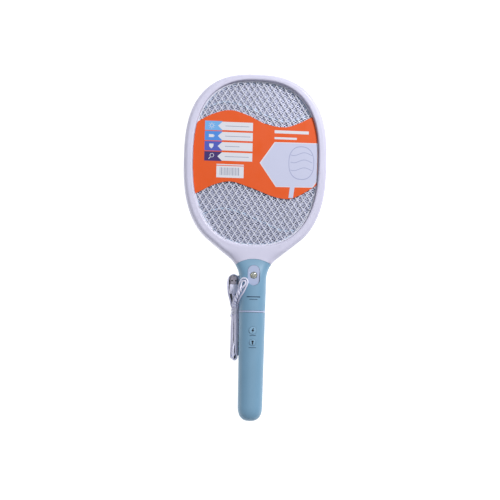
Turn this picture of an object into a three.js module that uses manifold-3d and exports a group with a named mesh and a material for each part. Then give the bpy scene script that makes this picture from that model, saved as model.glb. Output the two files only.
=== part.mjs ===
// Rechargeable electric fly swatter with its charging lead tied in a hank beside the handle.
// Millimetres. +Z is up and towards the front of the racket, which lies on its back.
// +Y runs along the handle to the top of the head. The origin is under the middle of the racket.
import * as THREE from "three";
import { mergeVertices } from "three/addons/utils/BufferGeometryUtils.js";
import Module from "manifold-3d";

const wasm = await Module();
wasm.setup();

// ---------- driving dimensions ----------
const LENGTH = 520;
const TOP_Y = LENGTH / 2;
const BUTT_Y = -LENGTH / 2;
const GAP = 0.3;

// head outline: half a superellipse above the widest line and another below it
const HEAD_Y = 131;
const HEAD_HALF_WIDTH = 108;
const HEAD_TOP_REACH = TOP_Y - HEAD_Y;
const HEAD_LOW_REACH = 142;
const HEAD_POWER = 2.58;
const FLANK_Y = 8;
const NECK_HALF_WIDTH = 20;
const FILLET_RADIUS = 40;

// opening in the head
const OPENING_HALF_WIDTH = 95;
const OPENING_TOP_REACH = 119;
const OPENING_LOW_REACH = 131;
const OPENING_POWER = 2.5;

// head shells
const FRAME_DEPTH = 30;
const MID_Z = FRAME_DEPTH / 2;
const WALL = 2.2;
const EDGE_ROUND = 5;
const THROAT_RADIUS = 47;
const THROAT_TOP_Y = -20;
const THROAT_CENTRE_Y = THROAT_TOP_Y - THROAT_RADIUS;

// mesh stack, half heights measured from the mid plane
const MESH_HALF = 0.3;
const CARRIER_IN = MESH_HALF + GAP;
const CARRIER_OUT = CARRIER_IN + 3.4;
const OUTER_MESH_IN = CARRIER_OUT + GAP;
const OUTER_MESH_OUT = OUTER_MESH_IN + 2 * MESH_HALF;
const LIP_IN = OUTER_MESH_OUT + GAP;
const GUARD_IN = 6.6;
const GUARD_OUT = GUARD_IN + 1.4;
const CARD_IN = GUARD_OUT + GAP;
const CARD_OUT = CARD_IN + 0.5;
const MESH_OUTSET = 3;
const CARRIER_OUTSET = 3.5;
const CARRIER_INSET = 3.5;
const RIB_WIDTH = 2.4;

// diamond lattices: solid rim, pitch across and along, strand width
const GUARD_LATTICE = { rim: 3, across: 27, along: 38, strand: 4 };
const MESH_LATTICE = { rim: 4, across: 62, along: 48, strand: 7 };

// screws, driven in from the rear
const SCREW_HEAD_HEIGHT = 1.6;
const SCREW_SHANK_RADIUS = 1.2;
const SCREW_PILOT_RADIUS = 1.6;
const FRAME_SCREW = { headZ: 1.1, headRadius: 2.2, tipZ: 24, recess: 3, recessRadius: 2.5, bossRadius: 2.9 };
const HANDLE_SCREW = { headZ: 3, headRadius: 2.4, tipZ: 25, recess: 5, recessRadius: 2.7, bossRadius: 3.2 };
const HANDLE_PILOT_Z = 27;

// neck, collar and grip
const HANDLE_FLOOR = 0.2;
const PARTING_Z = 16.5;
const NECK_START_Y = -18;
const NECK_END_Y = -60;
const NECK_START_HALF_DEPTH = 14.9;
const HANDLE_HALF_DEPTH = 18;
const BUTT_HALF_WIDTH = 18.1;
const BUTT_HALF_DEPTH = 17.2;
const BUTT_START_Y = -237;
const BUTT_POWER = 2.6;
const BUTT_FLAT = 0.985;
const NECK_POWER = 3.4;
const GRIP_POWER = 2.2;
const COLLAR_Y = -98.3;
const COLLAR_HALF = 1.2;
const COLLAR_PROUD = 0.4;
const SLEEVE_HALF = 6;
const HANDLE_SIDES = 20;

// lamp
const LAMP_Y = -44.5;
const LAMP_WIDTH = 18.4;
const LAMP_LENGTH = 30.4;
const LAMP_FLOOR_Z = 31.6;
const LENS_RADIUS = 5;
const LENS_RISE = 2.4;
const LENS_SKIRT = 1.8;
const LED_PITCH = 4.4;
const LED_RADIUS = 1.5;
const LED_BASE_Z = 27.6;
const LAMP_BOARD = { z: 26.6, width: 15, length: 22, thickness: 1.2 };

// buttons
const ZAP_Y = -126.2;
const ZAP_RADIUS = 5.6;
const LIGHT_Y = -143.8;
const LIGHT_RADIUS = 4.7;
const BUTTON_CLEARANCE = 0.35;
const BUTTON_PROUD = 0.9;
const BUTTON_STEM_Z = 29.7;
const BUTTON_FLANGE_Z = 31;

// inside the grip
const BOARD_Z = 22;
const BOARD_THICKNESS = 1.6;
const BOARD_TOP_Y = -118;
const BOARD_LENGTH = 50;
const BOARD_WIDTH = 24;
const SWITCH_SIZE = 6;
const SWITCH_HEIGHT = 3.5;
const PLUNGER_HEIGHT = 1.2;
const CELL_RADIUS = 7;
const CELL_LENGTH = 48;
const CELL_Y = -197;
const CELL_Z = 10.6;
const SOCKET_RADIUS = 2.9;
const SOCKET_BORE = 1.75;
const SOCKET_Z = 17;
const SOCKET_LENGTH = 12;
const SOCKET_MOUTH_Y = BUTT_Y + 0.5;
const TRANSFORMER = { y: -131, z: 15.5, width: 14, length: 12, height: 12, winding: 9, core: 5 };
const CAPACITOR = { y: -149, z: 15.6, width: 14, length: 6, height: 12 };
const CONTACT_SIZE = 10;
const CONTACT_THICKNESS = 0.6;
const TERMINAL_RADIUS = 2.6;
const TERMINAL_RISE = 1.5;
const LEAD_DIAMETER = 1.5;
const LEAD_X = 7;

// charging lead
const CORD_DIAMETER = 2.6;
const HANK_TILT = 50;
const HANK_X = -26.6;
const HANK_Z = 8.4;
const HANK_WIDTH = 16.2;
const HANK_WAIST = 10;
const HANK_DEPTH = 5.3;
const HANK_LOW_Y = -170;
const HANK_SHOULDER_Y = -118;
const HANK_WAIST_Y = -106;
const HANK_HIGH_Y = -90;
const TIE_Y = -96;
const PLUG_X = -27.4;
const USB_SHELL = { y: -51.6, z: 4, width: 12, length: 11.8, height: 4.5, wall: 0.4 };
const USB_BODY = { y: -64.8, z: 4.2, width: 12.6, length: 14, height: 7.6 };
const USB_RELIEF = { y: -74.8, z: 4.2, width: 5, length: 6.4, height: 5 };
const DC_X = -17.6;
const DC_Z = 3.7;
const DC_GRIP = { radius: 3.3, high: -112, low: -134 };
const DC_BARREL = { radius: 1.7, high: -134.3, low: -143.3 };

// ---------- materials ----------
function material(color, roughness, metalness = 0) {
  return new THREE.MeshStandardMaterial({ color, roughness, metalness });
}

const finish = {
  white: () => material(0xd6d6ea, 0.35),
  blue: () => material(0x82a8c6, 0.4),
  paleBlue: () => material(0xb6cfe2, 0.4),
  silver: () => material(0xb8bccb, 0.35, 0.9),
  steel: () => material(0xa0a4ab, 0.3, 1),
  card: () => material(0xe8622b, 0.5),
  button: () => material(0x86abc8, 0.45),
  dark: () => material(0x23262c, 0.5),
  board: () => material(0x2c6a45, 0.5),
  copper: () => material(0xb8763c, 0.4, 0.8),
  lens: () => material(0xf4f4ea, 0.1),
  led: () => material(0xf7e9a0, 0.2),
  cell: () => material(0x3a6ab0, 0.4),
  cord: () => material(0xc9cbe6, 0.45),
  red: () => material(0xa83a34, 0.5),
};

// ---------- solid helpers ----------
function toSolid(geometry) {
  const bare = geometry.clone();
  bare.deleteAttribute("normal");
  bare.deleteAttribute("uv");
  const merged = mergeVertices(bare, 1e-4);
  const mesh = new wasm.Mesh({
    numProp: 3,
    vertProperties: new Float32Array(merged.attributes.position.array),
    triVerts: new Uint32Array(merged.index.array),
  });
  return new wasm.Manifold(mesh);
}

function toGeometry(solid) {
  const mesh = solid.getMesh();
  const geometry = new THREE.BufferGeometry();
  geometry.setAttribute("position", new THREE.BufferAttribute(new Float32Array(mesh.vertProperties), 3));
  geometry.setIndex(new THREE.BufferAttribute(new Uint32Array(mesh.triVerts), 1));
  geometry.computeVertexNormals();
  return geometry;
}

// every ring has the same number of points, and the end rings are closed with flat caps
function skin(rings, capShape) {
  const positions = rings.flat(2);
  const index = [];
  const count = rings[0].length;
  for (let level = 0; level + 1 < rings.length; level += 1) {
    for (let i = 0; i < count; i += 1) {
      const a = level * count + i;
      const b = level * count + ((i + 1) % count);
      index.push(a, b, b + count, a, b + count, a + count);
    }
  }
  const last = (rings.length - 1) * count;
  for (const [a, b, c] of THREE.ShapeUtils.triangulateShape(capShape, [])) {
    index.push(a, c, b);
    index.push(last + a, last + b, last + c);
  }
  const geometry = new THREE.BufferGeometry();
  geometry.setAttribute("position", new THREE.Float32BufferAttribute(positions, 3));
  geometry.setIndex(index);
  return geometry;
}

// moves each point of a counter-clockwise outline towards its inside
function inset(outline, distance) {
  return outline.map((point, i) => {
    const before = outline[(i + outline.length - 1) % outline.length];
    const after = outline[(i + 1) % outline.length];
    const along = new THREE.Vector2().subVectors(after, before).normalize();
    return new THREE.Vector2(point.x - along.y * distance, point.y + along.x * distance);
  });
}

// stacks copies of an outline at rising heights, each moved in by its own inset
function stack(outline, levels) {
  const rings = levels.map(([z, distance]) => inset(outline, distance).map((p) => [p.x, p.y, z]));
  return skin(rings, outline);
}

function slab(outline, low, high) {
  return toSolid(stack(outline, [[low, 0], [high, 0]]));
}

function disc(x, y, low, high, radius, sides = 20) {
  const geometry = new THREE.CylinderGeometry(radius, radius, high - low, sides);
  geometry.rotateX(Math.PI / 2);
  geometry.translate(x, y, (low + high) / 2);
  return geometry;
}

function block(x, y, z, width, length, height) {
  const geometry = new THREE.BoxGeometry(width, length, height);
  geometry.translate(x, y, z);
  return geometry;
}

function stadium(width, length, steps = 8) {
  const radius = width / 2;
  const reach = length / 2 - radius;
  const points = [];
  for (const [centre, start] of [[reach, 0], [-reach, Math.PI]]) {
    for (let i = 0; i <= steps; i += 1) {
      const angle = start + (Math.PI * i) / steps;
      points.push(new THREE.Vector2(radius * Math.cos(angle), centre + radius * Math.sin(angle)));
    }
  }
  return points;
}

function shifted(points, x, y) {
  return points.map((p) => new THREE.Vector2(p.x + x, p.y + y));
}

function tube(points, diameter, sides, steps) {
  const section = new THREE.Shape();
  for (let i = 0; i < sides; i += 1) {
    const angle = (2 * Math.PI * i) / sides;
    const x = (diameter / 2) * Math.cos(angle);
    const y = (diameter / 2) * Math.sin(angle);
    if (i === 0) section.moveTo(x, y);
    else section.lineTo(x, y);
  }
  section.closePath();
  const path = new THREE.CatmullRomCurve3(points.map((p) => new THREE.Vector3(...p)));
  return new THREE.ExtrudeGeometry(section, { steps, extrudePath: path, curveSegments: 1 });
}

// ---------- outlines ----------
function signedPower(value, power) {
  return Math.sign(value) * Math.abs(value) ** power;
}

function superellipseSide(halfWidth, reach, power, y) {
  return halfWidth * (1 - Math.abs(y / reach) ** power) ** (1 / power);
}

function flankSlope() {
  const step = 0.01;
  const low = superellipseSide(HEAD_HALF_WIDTH, HEAD_LOW_REACH, HEAD_POWER, HEAD_Y - FLANK_Y);
  const high = superellipseSide(HEAD_HALF_WIDTH, HEAD_LOW_REACH, HEAD_POWER, HEAD_Y - FLANK_Y - step);
  return (high - low) / step;
}

// right half of the head outline, from the top down the flank and the fillet to the neck
function headSide() {
  const points = [];
  const steps = 12;
  for (let i = 0; i <= steps; i += 1) {
    const angle = (Math.PI / 2) * (1 - i / steps);
    const x = HEAD_HALF_WIDTH * Math.cos(angle) ** (2 / HEAD_POWER);
    const y = HEAD_Y + HEAD_TOP_REACH * Math.sin(angle) ** (2 / HEAD_POWER);
    points.push(new THREE.Vector2(x, y));
  }
  const fall = HEAD_Y - FLANK_Y;
  const endAngle = Math.asin((fall / HEAD_LOW_REACH) ** (HEAD_POWER / 2));
  for (let i = 1; i <= steps; i += 1) {
    const angle = (endAngle * i) / steps;
    const x = HEAD_HALF_WIDTH * Math.cos(angle) ** (2 / HEAD_POWER);
    const y = HEAD_Y - HEAD_LOW_REACH * Math.sin(angle) ** (2 / HEAD_POWER);
    points.push(new THREE.Vector2(x, y));
  }
  const lean = Math.atan(flankSlope());
  const corner = FLANK_Y - (points.at(-1).x - NECK_HALF_WIDTH) / Math.tan(lean);
  const reach = FILLET_RADIUS * Math.tan(lean / 2);
  const filletSteps = 6;
  for (let i = 0; i <= filletSteps; i += 1) {
    const angle = lean * (1 - i / filletSteps);
    const x = NECK_HALF_WIDTH + FILLET_RADIUS * (1 - Math.cos(angle));
    const y = corner - reach + FILLET_RADIUS * Math.sin(angle);
    points.push(new THREE.Vector2(x, y));
  }
  return points;
}

const HEAD_SIDE = headSide();

function headOutline() {
  const left = HEAD_SIDE.slice(1).map((p) => new THREE.Vector2(-p.x, p.y));
  const right = HEAD_SIDE.slice(1).reverse();
  return [...left, ...right, HEAD_SIDE[0]];
}

function openingOutline(steps = 40) {
  const points = [];
  for (let i = 0; i < steps; i += 1) {
    const angle = (2 * Math.PI * i) / steps;
    const reach = Math.sin(angle) > 0 ? OPENING_TOP_REACH : OPENING_LOW_REACH;
    const x = OPENING_HALF_WIDTH * signedPower(Math.cos(angle), 2 / OPENING_POWER);
    const y = HEAD_Y + reach * signedPower(Math.sin(angle), 2 / OPENING_POWER);
    points.push(new THREE.Vector2(x, y));
  }
  return points;
}

const HEAD = headOutline();
const OPENING = openingOutline();

function insideOpening(x, y, margin) {
  const reach = y > HEAD_Y ? OPENING_TOP_REACH : OPENING_LOW_REACH;
  const across = Math.abs(x) / (OPENING_HALF_WIDTH - margin);
  const along = Math.abs(y - HEAD_Y) / (reach - margin);
  return across ** OPENING_POWER + along ** OPENING_POWER < 1;
}

// half width of the neck and grip at a height along the handle
function neckHalfWidth(y) {
  if (y < BUTT_START_Y) {
    const t = Math.min((BUTT_START_Y - y) / (BUTT_START_Y - BUTT_Y), BUTT_FLAT);
    return BUTT_HALF_WIDTH * (1 - t ** BUTT_POWER) ** (1 / BUTT_POWER);
  }
  const filletEnd = HEAD_SIDE.at(-1).y;
  if (y <= filletEnd) {
    const t = (filletEnd - y) / (filletEnd - BUTT_START_Y);
    return THREE.MathUtils.lerp(NECK_HALF_WIDTH, BUTT_HALF_WIDTH, t);
  }
  return NECK_HALF_WIDTH + FILLET_RADIUS - Math.sqrt(FILLET_RADIUS ** 2 - (y - filletEnd) ** 2);
}

// half depth, centre height and squareness of the handle's section
function handleSection(y) {
  const blend = THREE.MathUtils.smoothstep(y, NECK_END_Y, NECK_START_Y);
  const taper = THREE.MathUtils.clamp((NECK_END_Y - y) / (NECK_END_Y - BUTT_START_Y), 0, 1);
  const grip = THREE.MathUtils.lerp(HANDLE_HALF_DEPTH, BUTT_HALF_DEPTH, taper);
  const full = THREE.MathUtils.lerp(grip, NECK_START_HALF_DEPTH, blend);
  const rounding = y < BUTT_START_Y ? neckHalfWidth(y) / BUTT_HALF_WIDTH : 1;
  return {
    halfWidth: neckHalfWidth(y),
    halfDepth: full * rounding,
    centre: HANDLE_FLOOR + full,
    power: THREE.MathUtils.lerp(GRIP_POWER, NECK_POWER, blend),
  };
}

function handleRing(y, wall) {
  const { halfWidth, halfDepth, centre, power } = handleSection(y);
  const ring = [];
  for (let i = 0; i < HANDLE_SIDES; i += 1) {
    const angle = (2 * Math.PI * (i + 0.5)) / HANDLE_SIDES;
    const across = signedPower(Math.cos(angle), 2 / power);
    const up = signedPower(Math.sin(angle), 2 / power);
    ring.push([(halfWidth - wall) * across, y, centre + (halfDepth - wall) * up]);
  }
  return ring;
}

// solid of the handle's section between stations along Y, drawn in by a wall
function handleCore(stations, wall) {
  const rings = [...stations].sort((a, b) => b - a).map((y) => handleRing(y, wall));
  const cap = rings[0].map(([x, , z]) => new THREE.Vector2(x, z));
  return toSolid(skin(rings, cap));
}

const NECK_STATIONS = [NECK_START_Y, -24, -30, -36, -43, -51, NECK_END_Y, COLLAR_Y + COLLAR_HALF + GAP];
const GRIP_STATIONS = [COLLAR_Y - COLLAR_HALF - GAP, BUTT_START_Y, -245, -251, -255.5, -258.4, BUTT_Y];

// ---------- head ----------
const SCREW_ANGLES = [56, 0, -52, -128, 180, 124];

// point midway between the head outline and the opening
function ringPoint(degrees) {
  const angle = THREE.MathUtils.degToRad(degrees);
  const upper = Math.sin(angle) > 0;
  const power = (HEAD_POWER + OPENING_POWER) / 2;
  const halfWidth = (HEAD_HALF_WIDTH + OPENING_HALF_WIDTH) / 2;
  const reach = upper
    ? (HEAD_TOP_REACH + OPENING_TOP_REACH) / 2
    : (HEAD_LOW_REACH + OPENING_LOW_REACH) / 2;
  const x = halfWidth * signedPower(Math.cos(angle), 2 / power);
  const y = HEAD_Y + reach * signedPower(Math.sin(angle), 2 / power);
  return [x, y];
}

const FRAME_SCREWS = SCREW_ANGLES.map(ringPoint);

// mirrors a height about the mid plane, so one recipe makes the front and the rear shell
function side(front, height) {
  return front ? MID_Z + height : MID_Z - height;
}

function sideLevels(front, levels) {
  const placed = levels.map(([height, distance]) => [side(front, height), distance]);
  return front ? placed : placed.reverse();
}

function sideSlab(front, outline, low, high) {
  return toSolid(stack(outline, sideLevels(front, [[low, 0], [high, 0]])));
}

function sideDisc(front, x, y, low, high, radius) {
  const a = side(front, low);
  const b = side(front, high);
  return toSolid(disc(x, y, Math.min(a, b), Math.max(a, b), radius, 8));
}

function headShell(front) {
  const face = FRAME_DEPTH / 2;
  const profile = [[GAP / 2, 0], [face - EDGE_ROUND, 0], [face - 1.6, 1.7], [face, EDGE_ROUND]];
  let shell = toSolid(stack(HEAD, sideLevels(front, profile)));
  const mouth = [[-2, 0], [face + 1, 0]];
  shell = shell.subtract(toSolid(stack(OPENING, sideLevels(front, mouth))));
  const cavity = inset(HEAD, WALL);
  const channel = sideSlab(front, cavity, -2, face - WALL);
  const lipWall = sideSlab(front, inset(OPENING, -2), LIP_IN, face + 2);
  shell = shell.subtract(channel.subtract(lipWall));
  const throat = toSolid(disc(0, THROAT_CENTRE_Y, -2, FRAME_DEPTH + 2, THROAT_RADIUS, 48));
  shell = shell.subtract(throat);
  for (const [x, y] of FRAME_SCREWS) {
    shell = shell.add(sideDisc(front, x, y, GAP / 2, face - WALL / 2, FRAME_SCREW.bossRadius));
  }
  for (const [x, y] of FRAME_SCREWS) {
    const pilotEnd = front ? face - 4 : face + 1;
    shell = shell.subtract(sideDisc(front, x, y, -1, pilotEnd, SCREW_PILOT_RADIUS));
    if (!front) {
      const recess = sideDisc(front, x, y, face - FRAME_SCREW.recess, face + 1, FRAME_SCREW.recessRadius);
      shell = shell.subtract(recess);
    }
  }
  return toGeometry(shell);
}

function screw(x, y, { headZ, headRadius, tipZ }) {
  const neckZ = headZ + SCREW_HEAD_HEIGHT;
  const points = [
    [0, headZ], [headRadius, headZ], [headRadius, neckZ], [SCREW_SHANK_RADIUS, neckZ],
    [SCREW_SHANK_RADIUS, tipZ], [0, tipZ],
  ];
  const profile = points.map(([r, z]) => new THREE.Vector2(r, z));
  const geometry = new THREE.LatheGeometry(profile, 8);
  geometry.rotateX(Math.PI / 2);
  geometry.translate(x, y, 0);
  return geometry;
}

// a flat plate with a solid rim and a field of diamond holes
function latticePlate(outline, low, high, { rim, across, along, strand }) {
  const shape = new THREE.Shape(outline);
  const halfAcross = (across - strand) / 2;
  const halfAlong = (along - strand) / 2;
  const columns = Math.ceil((2 * OPENING_HALF_WIDTH) / across);
  const rows = Math.ceil(OPENING_LOW_REACH / along) * 2;
  for (let row = -rows; row <= rows; row += 1) {
    for (let column = -columns; column <= columns; column += 1) {
      const x = (column + (row % 2 === 0 ? 0 : 0.5)) * across;
      const y = HEAD_Y + (row * along) / 2;
      const corners = [[x + halfAcross, y], [x, y + halfAlong], [x - halfAcross, y], [x, y - halfAlong]];
      if (corners.every(([cx, cy]) => insideOpening(cx, cy, rim))) {
        shape.holes.push(new THREE.Path(corners.reverse().map((c) => new THREE.Vector2(...c))));
      }
    }
  }
  const geometry = new THREE.ExtrudeGeometry(shape, { depth: high - low, bevelEnabled: false, steps: 1 });
  geometry.translate(0, 0, low);
  return geometry;
}

function guard(front) {
  const low = side(front, front ? GUARD_IN : GUARD_OUT);
  return latticePlate(inset(OPENING, GAP), low, low + GUARD_OUT - GUARD_IN, GUARD_LATTICE);
}

function meshLayer(centre) {
  const low = centre - MESH_HALF;
  return latticePlate(inset(OPENING, -MESH_OUTSET), low, low + 2 * MESH_HALF, MESH_LATTICE);
}

const TOP_RIB = [
  [-96, 193], [-80, 205], [-52, 216.5], [-37, 216], [-8, 208.5], [11, 200], [36, 191], [57, 192.5], [84, 205],
  [96, 214],
];
const LOW_RIB = [
  [-96, 30], [-77, 46], [-52, 55], [-42, 55], [-18, 49], [17, 34.5], [46, 24], [64, 27], [82, 42], [94, 56],
];

function strip(points, width, low, high) {
  const curve = new THREE.SplineCurve(points.map((p) => new THREE.Vector2(...p)));
  const samples = curve.getPoints(16);
  const edge = (sign) => samples.map((p, i) => {
    const along = curve.getTangent(i / (samples.length - 1));
    return new THREE.Vector2(p.x - (sign * along.y * width) / 2, p.y + (sign * along.x * width) / 2);
  });
  return slab([...edge(-1), ...edge(1).reverse()], low, high);
}

function meshCarrier(front) {
  const low = Math.min(side(front, CARRIER_IN), side(front, CARRIER_OUT));
  const high = low + CARRIER_OUT - CARRIER_IN;
  const outer = slab(inset(OPENING, -CARRIER_OUTSET), low, high);
  const inner = slab(inset(OPENING, CARRIER_INSET), low - 1, high + 1);
  const ribs = strip(TOP_RIB, RIB_WIDTH, low, high).add(strip(LOW_RIB, RIB_WIDTH, low, high));
  return toGeometry(outer.subtract(inner).add(ribs.intersect(outer)));
}

const CARD_TOP = [
  [-100, 178], [-91, 183], [-66, 197], [-40, 203.5], [-14, 197], [14, 184.5], [46, 181], [87, 199], [100, 205],
];
const CARD_LOW = [
  [-100, 70], [-85, 78], [-62, 90], [-38, 95.5], [-8, 87.5], [35, 73], [56, 73], [94, 95], [100, 100],
];

// printed display card with a wavy top and bottom edge, lying on the front guard
function labelCard() {
  const edge = (points) => {
    const curve = new THREE.SplineCurve(points.map((p) => new THREE.Vector2(...p)));
    return curve.getPoints(28);
  };
  const outline = [...edge(CARD_LOW), ...edge(CARD_TOP).reverse()];
  const low = side(true, CARD_IN);
  const high = side(true, CARD_OUT);
  return toGeometry(slab(outline, low, high).intersect(slab(inset(OPENING, 0.6), low, high)));
}

// ---------- neck and grip ----------
const BIG = 400;

function halfSpace(front) {
  const middle = front ? PARTING_Z + GAP / 2 + BIG / 2 : PARTING_Z - GAP / 2 - BIG / 2;
  return toSolid(block(0, 0, middle, BIG, 2 * BIG, BIG));
}

function halfShell(front, stations, screws, extend) {
  const outer = handleCore(stations, 0);
  const inner = handleCore(extend(stations), WALL);
  let shell = outer.subtract(inner);
  for (const y of screws) {
    const post = toSolid(disc(0, y, -5, BIG, HANDLE_SCREW.bossRadius, 12));
    shell = shell.add(post.intersect(outer));
  }
  shell = shell.intersect(halfSpace(front));
  for (const y of screws) {
    shell = shell.subtract(toSolid(disc(0, y, -5, HANDLE_PILOT_Z, SCREW_PILOT_RADIUS, 12)));
    if (!front) {
      const recess = disc(0, y, -5, HANDLE_SCREW.recess, HANDLE_SCREW.recessRadius, 12);
      shell = shell.subtract(toSolid(recess));
    }
  }
  return shell;
}

const NECK_SCREW_Y = -84;
const GRIP_SCREWS = [-111, -232];

function openEnds(stations) {
  return [stations[0] + 1, ...stations.slice(1, -1), stations.at(-1) - 1];
}

function openTop(stations) {
  return [stations[0] + 1, ...stations.slice(1).filter((y) => y > BUTT_Y + WALL)];
}

function neckShell(front) {
  const throat = toSolid(disc(0, THROAT_CENTRE_Y, -2, 50, THROAT_RADIUS - GAP, 48));
  let shell = halfShell(front, NECK_STATIONS, [NECK_SCREW_Y], openEnds).intersect(throat);
  if (front) {
    const window = shifted(stadium(LAMP_WIDTH, LAMP_LENGTH), 0, LAMP_Y);
    shell = shell.subtract(slab(window, 28, 40));
  }
  return toGeometry(shell);
}

function gripShell(front) {
  let shell = halfShell(front, GRIP_STATIONS, GRIP_SCREWS, openTop);
  if (front) {
    for (const [y, radius] of [[ZAP_Y, ZAP_RADIUS], [LIGHT_Y, LIGHT_RADIUS]]) {
      shell = shell.subtract(toSolid(disc(0, y, 28, 40, radius + BUTTON_CLEARANCE, 16)));
    }
  }
  const port = new THREE.CylinderGeometry(SOCKET_RADIUS + GAP, SOCKET_RADIUS + GAP, 10, 20);
  port.translate(0, BUTT_Y, SOCKET_Z);
  return toGeometry(shell.subtract(toSolid(port)));
}

function collarRing() {
  const stations = [COLLAR_Y + COLLAR_HALF, COLLAR_Y - COLLAR_HALF];
  const bore = handleCore([COLLAR_Y + 2 * COLLAR_HALF, COLLAR_Y - 2 * COLLAR_HALF], WALL);
  const band = handleCore(stations, 0);
  const upperHalf = toSolid(block(0, 0, BIG / 2, BIG, BIG * 2, BIG));
  const proud = handleCore(stations, -COLLAR_PROUD).intersect(upperHalf);
  return toGeometry(band.add(proud).subtract(bore));
}

function couplingSleeve() {
  const outer = handleCore([COLLAR_Y + SLEEVE_HALF, COLLAR_Y - SLEEVE_HALF], WALL + GAP);
  const inner = handleCore([COLLAR_Y + SLEEVE_HALF + 1, COLLAR_Y - SLEEVE_HALF - 1], WALL + GAP + 1.4);
  return toGeometry(outer.subtract(inner));
}

// ---------- lamp ----------
function lampPlate() {
  const outline = shifted(stadium(LAMP_WIDTH - 2 * GAP, LAMP_LENGTH - 2 * GAP), 0, LAMP_Y);
  const plate = slab(outline, LAMP_FLOOR_Z - 1.6, LAMP_FLOOR_Z);
  const hole = toSolid(disc(0, LAMP_Y, LAMP_FLOOR_Z - 3, LAMP_FLOOR_Z + 2, LENS_RADIUS + GAP, 24));
  return toGeometry(plate.subtract(hole));
}

function dome(x, y, base, radius, height, skirt, sides) {
  const profile = [new THREE.Vector2(0, base), new THREE.Vector2(radius, base)];
  const steps = 4;
  for (let i = 0; i < steps; i += 1) {
    const angle = (Math.PI / 2) * (i / steps);
    profile.push(new THREE.Vector2(radius * Math.cos(angle), base + skirt + height * Math.sin(angle)));
  }
  profile.push(new THREE.Vector2(0, base + skirt + height));
  const geometry = new THREE.LatheGeometry(profile, sides);
  geometry.rotateX(Math.PI / 2);
  geometry.translate(x, y, 0);
  return geometry;
}

// ---------- buttons and electrics ----------
function topOfGrip(y) {
  const { halfDepth, centre } = handleSection(y);
  return centre + halfDepth;
}

// domed cap with a hidden flange and a stem over its switch
function pushButton(radius, y) {
  const top = topOfGrip(y);
  const points = [
    [0, BUTTON_STEM_Z], [2, BUTTON_STEM_Z], [2, BUTTON_FLANGE_Z], [radius + 1.2, BUTTON_FLANGE_Z],
    [radius + 1.2, BUTTON_FLANGE_Z + 0.8], [radius, BUTTON_FLANGE_Z + 0.8], [radius, top],
    [radius - 0.8, top + BUTTON_PROUD * 0.8], [0, top + BUTTON_PROUD],
  ];
  const geometry = new THREE.LatheGeometry(points.map(([r, z]) => new THREE.Vector2(r, z)), 16);
  geometry.rotateX(Math.PI / 2);
  geometry.translate(0, y, 0);
  return geometry;
}

function tactSwitch(y) {
  const base = BOARD_Z + BOARD_THICKNESS + GAP;
  const body = toSolid(block(0, y, base + SWITCH_HEIGHT / 2, SWITCH_SIZE, SWITCH_SIZE, SWITCH_HEIGHT));
  const high = base + SWITCH_HEIGHT;
  return toGeometry(body.add(toSolid(disc(0, y, high - 0.5, high + PLUNGER_HEIGHT - GAP, 1.7, 12))));
}

function transformer() {
  const { y, z, width, length, height, winding, core } = TRANSFORMER;
  const plates = toSolid(block(0, y, z, width, core, height));
  return toGeometry(plates.add(toSolid(block(0, y, z, winding, length, winding))));
}

function capacitor() {
  const { y, z, width, length, height } = CAPACITOR;
  return block(0, y, z, width, length, height);
}

function chargingSocket() {
  const body = new THREE.CylinderGeometry(SOCKET_RADIUS, SOCKET_RADIUS, SOCKET_LENGTH, 20);
  body.translate(0, SOCKET_MOUTH_Y + SOCKET_LENGTH / 2, SOCKET_Z);
  const bore = new THREE.CylinderGeometry(SOCKET_BORE, SOCKET_BORE, SOCKET_LENGTH, 16);
  bore.translate(0, SOCKET_MOUTH_Y + SOCKET_LENGTH / 2 - 3, SOCKET_Z);
  return toGeometry(toSolid(body).subtract(toSolid(bore)));
}

function batteryCell() {
  const can = new THREE.CylinderGeometry(CELL_RADIUS, CELL_RADIUS, CELL_LENGTH, 20);
  can.translate(0, CELL_Y, CELL_Z);
  const terminal = new THREE.CylinderGeometry(TERMINAL_RADIUS, TERMINAL_RADIUS, 2 * TERMINAL_RISE, 12);
  terminal.translate(0, CELL_Y + CELL_LENGTH / 2, CELL_Z);
  return toGeometry(toSolid(can).add(toSolid(terminal)));
}

// spring plate beyond one end of the cell
function batteryContact(direction, rise) {
  const y = CELL_Y + direction * (CELL_LENGTH / 2 + rise + GAP + CONTACT_THICKNESS / 2);
  return block(0, y, CELL_Z, CONTACT_SIZE, CONTACT_THICKNESS, CONTACT_SIZE);
}

function meshLead(x, meshZ) {
  const start = BOARD_TOP_Y + GAP + 0.1;
  const startZ = BOARD_Z + BOARD_THICKNESS / 2;
  const route = [[x, start, startZ], [x, -100, 21], [x * 1.1, -60, 17], [x, -20, meshZ], [x, -4, meshZ]];
  return tube(route, LEAD_DIAMETER, 6, 8);
}

// ---------- charging lead ----------
// from the back of the USB plug into the hank
const PLUG_END = [[-27.4, -78.3, 4.2], [-27.5, -82, 4.2], [-28, -86, 4.2], [-28.2, -89.4, 4.2]];
// round the USB plug on the floor, then under the hank to the charging plug
const LEFT_LOOP = [
  [-31, -89.4, 6.4], [-32.2, -82, 4.4], [-34.4, -75, 2.6], [-35.9, -67, 1.7], [-36.6, -59, 1.6],
  [-36.6, -51, 1.6], [-34.2, -43.4, 1.6], [-27.9, -40.2, 1.6], [-21.6, -43, 1.6], [-18.7, -50, 1.8],
  [-18.5, -61, 2], [-18.8, -72, 2], [-19.6, -82, 1.8], [-20.4, -92, 1.8], [-19.6, -102, 2.4],
  [-17.6, -111.7, 3.7],
];
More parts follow.
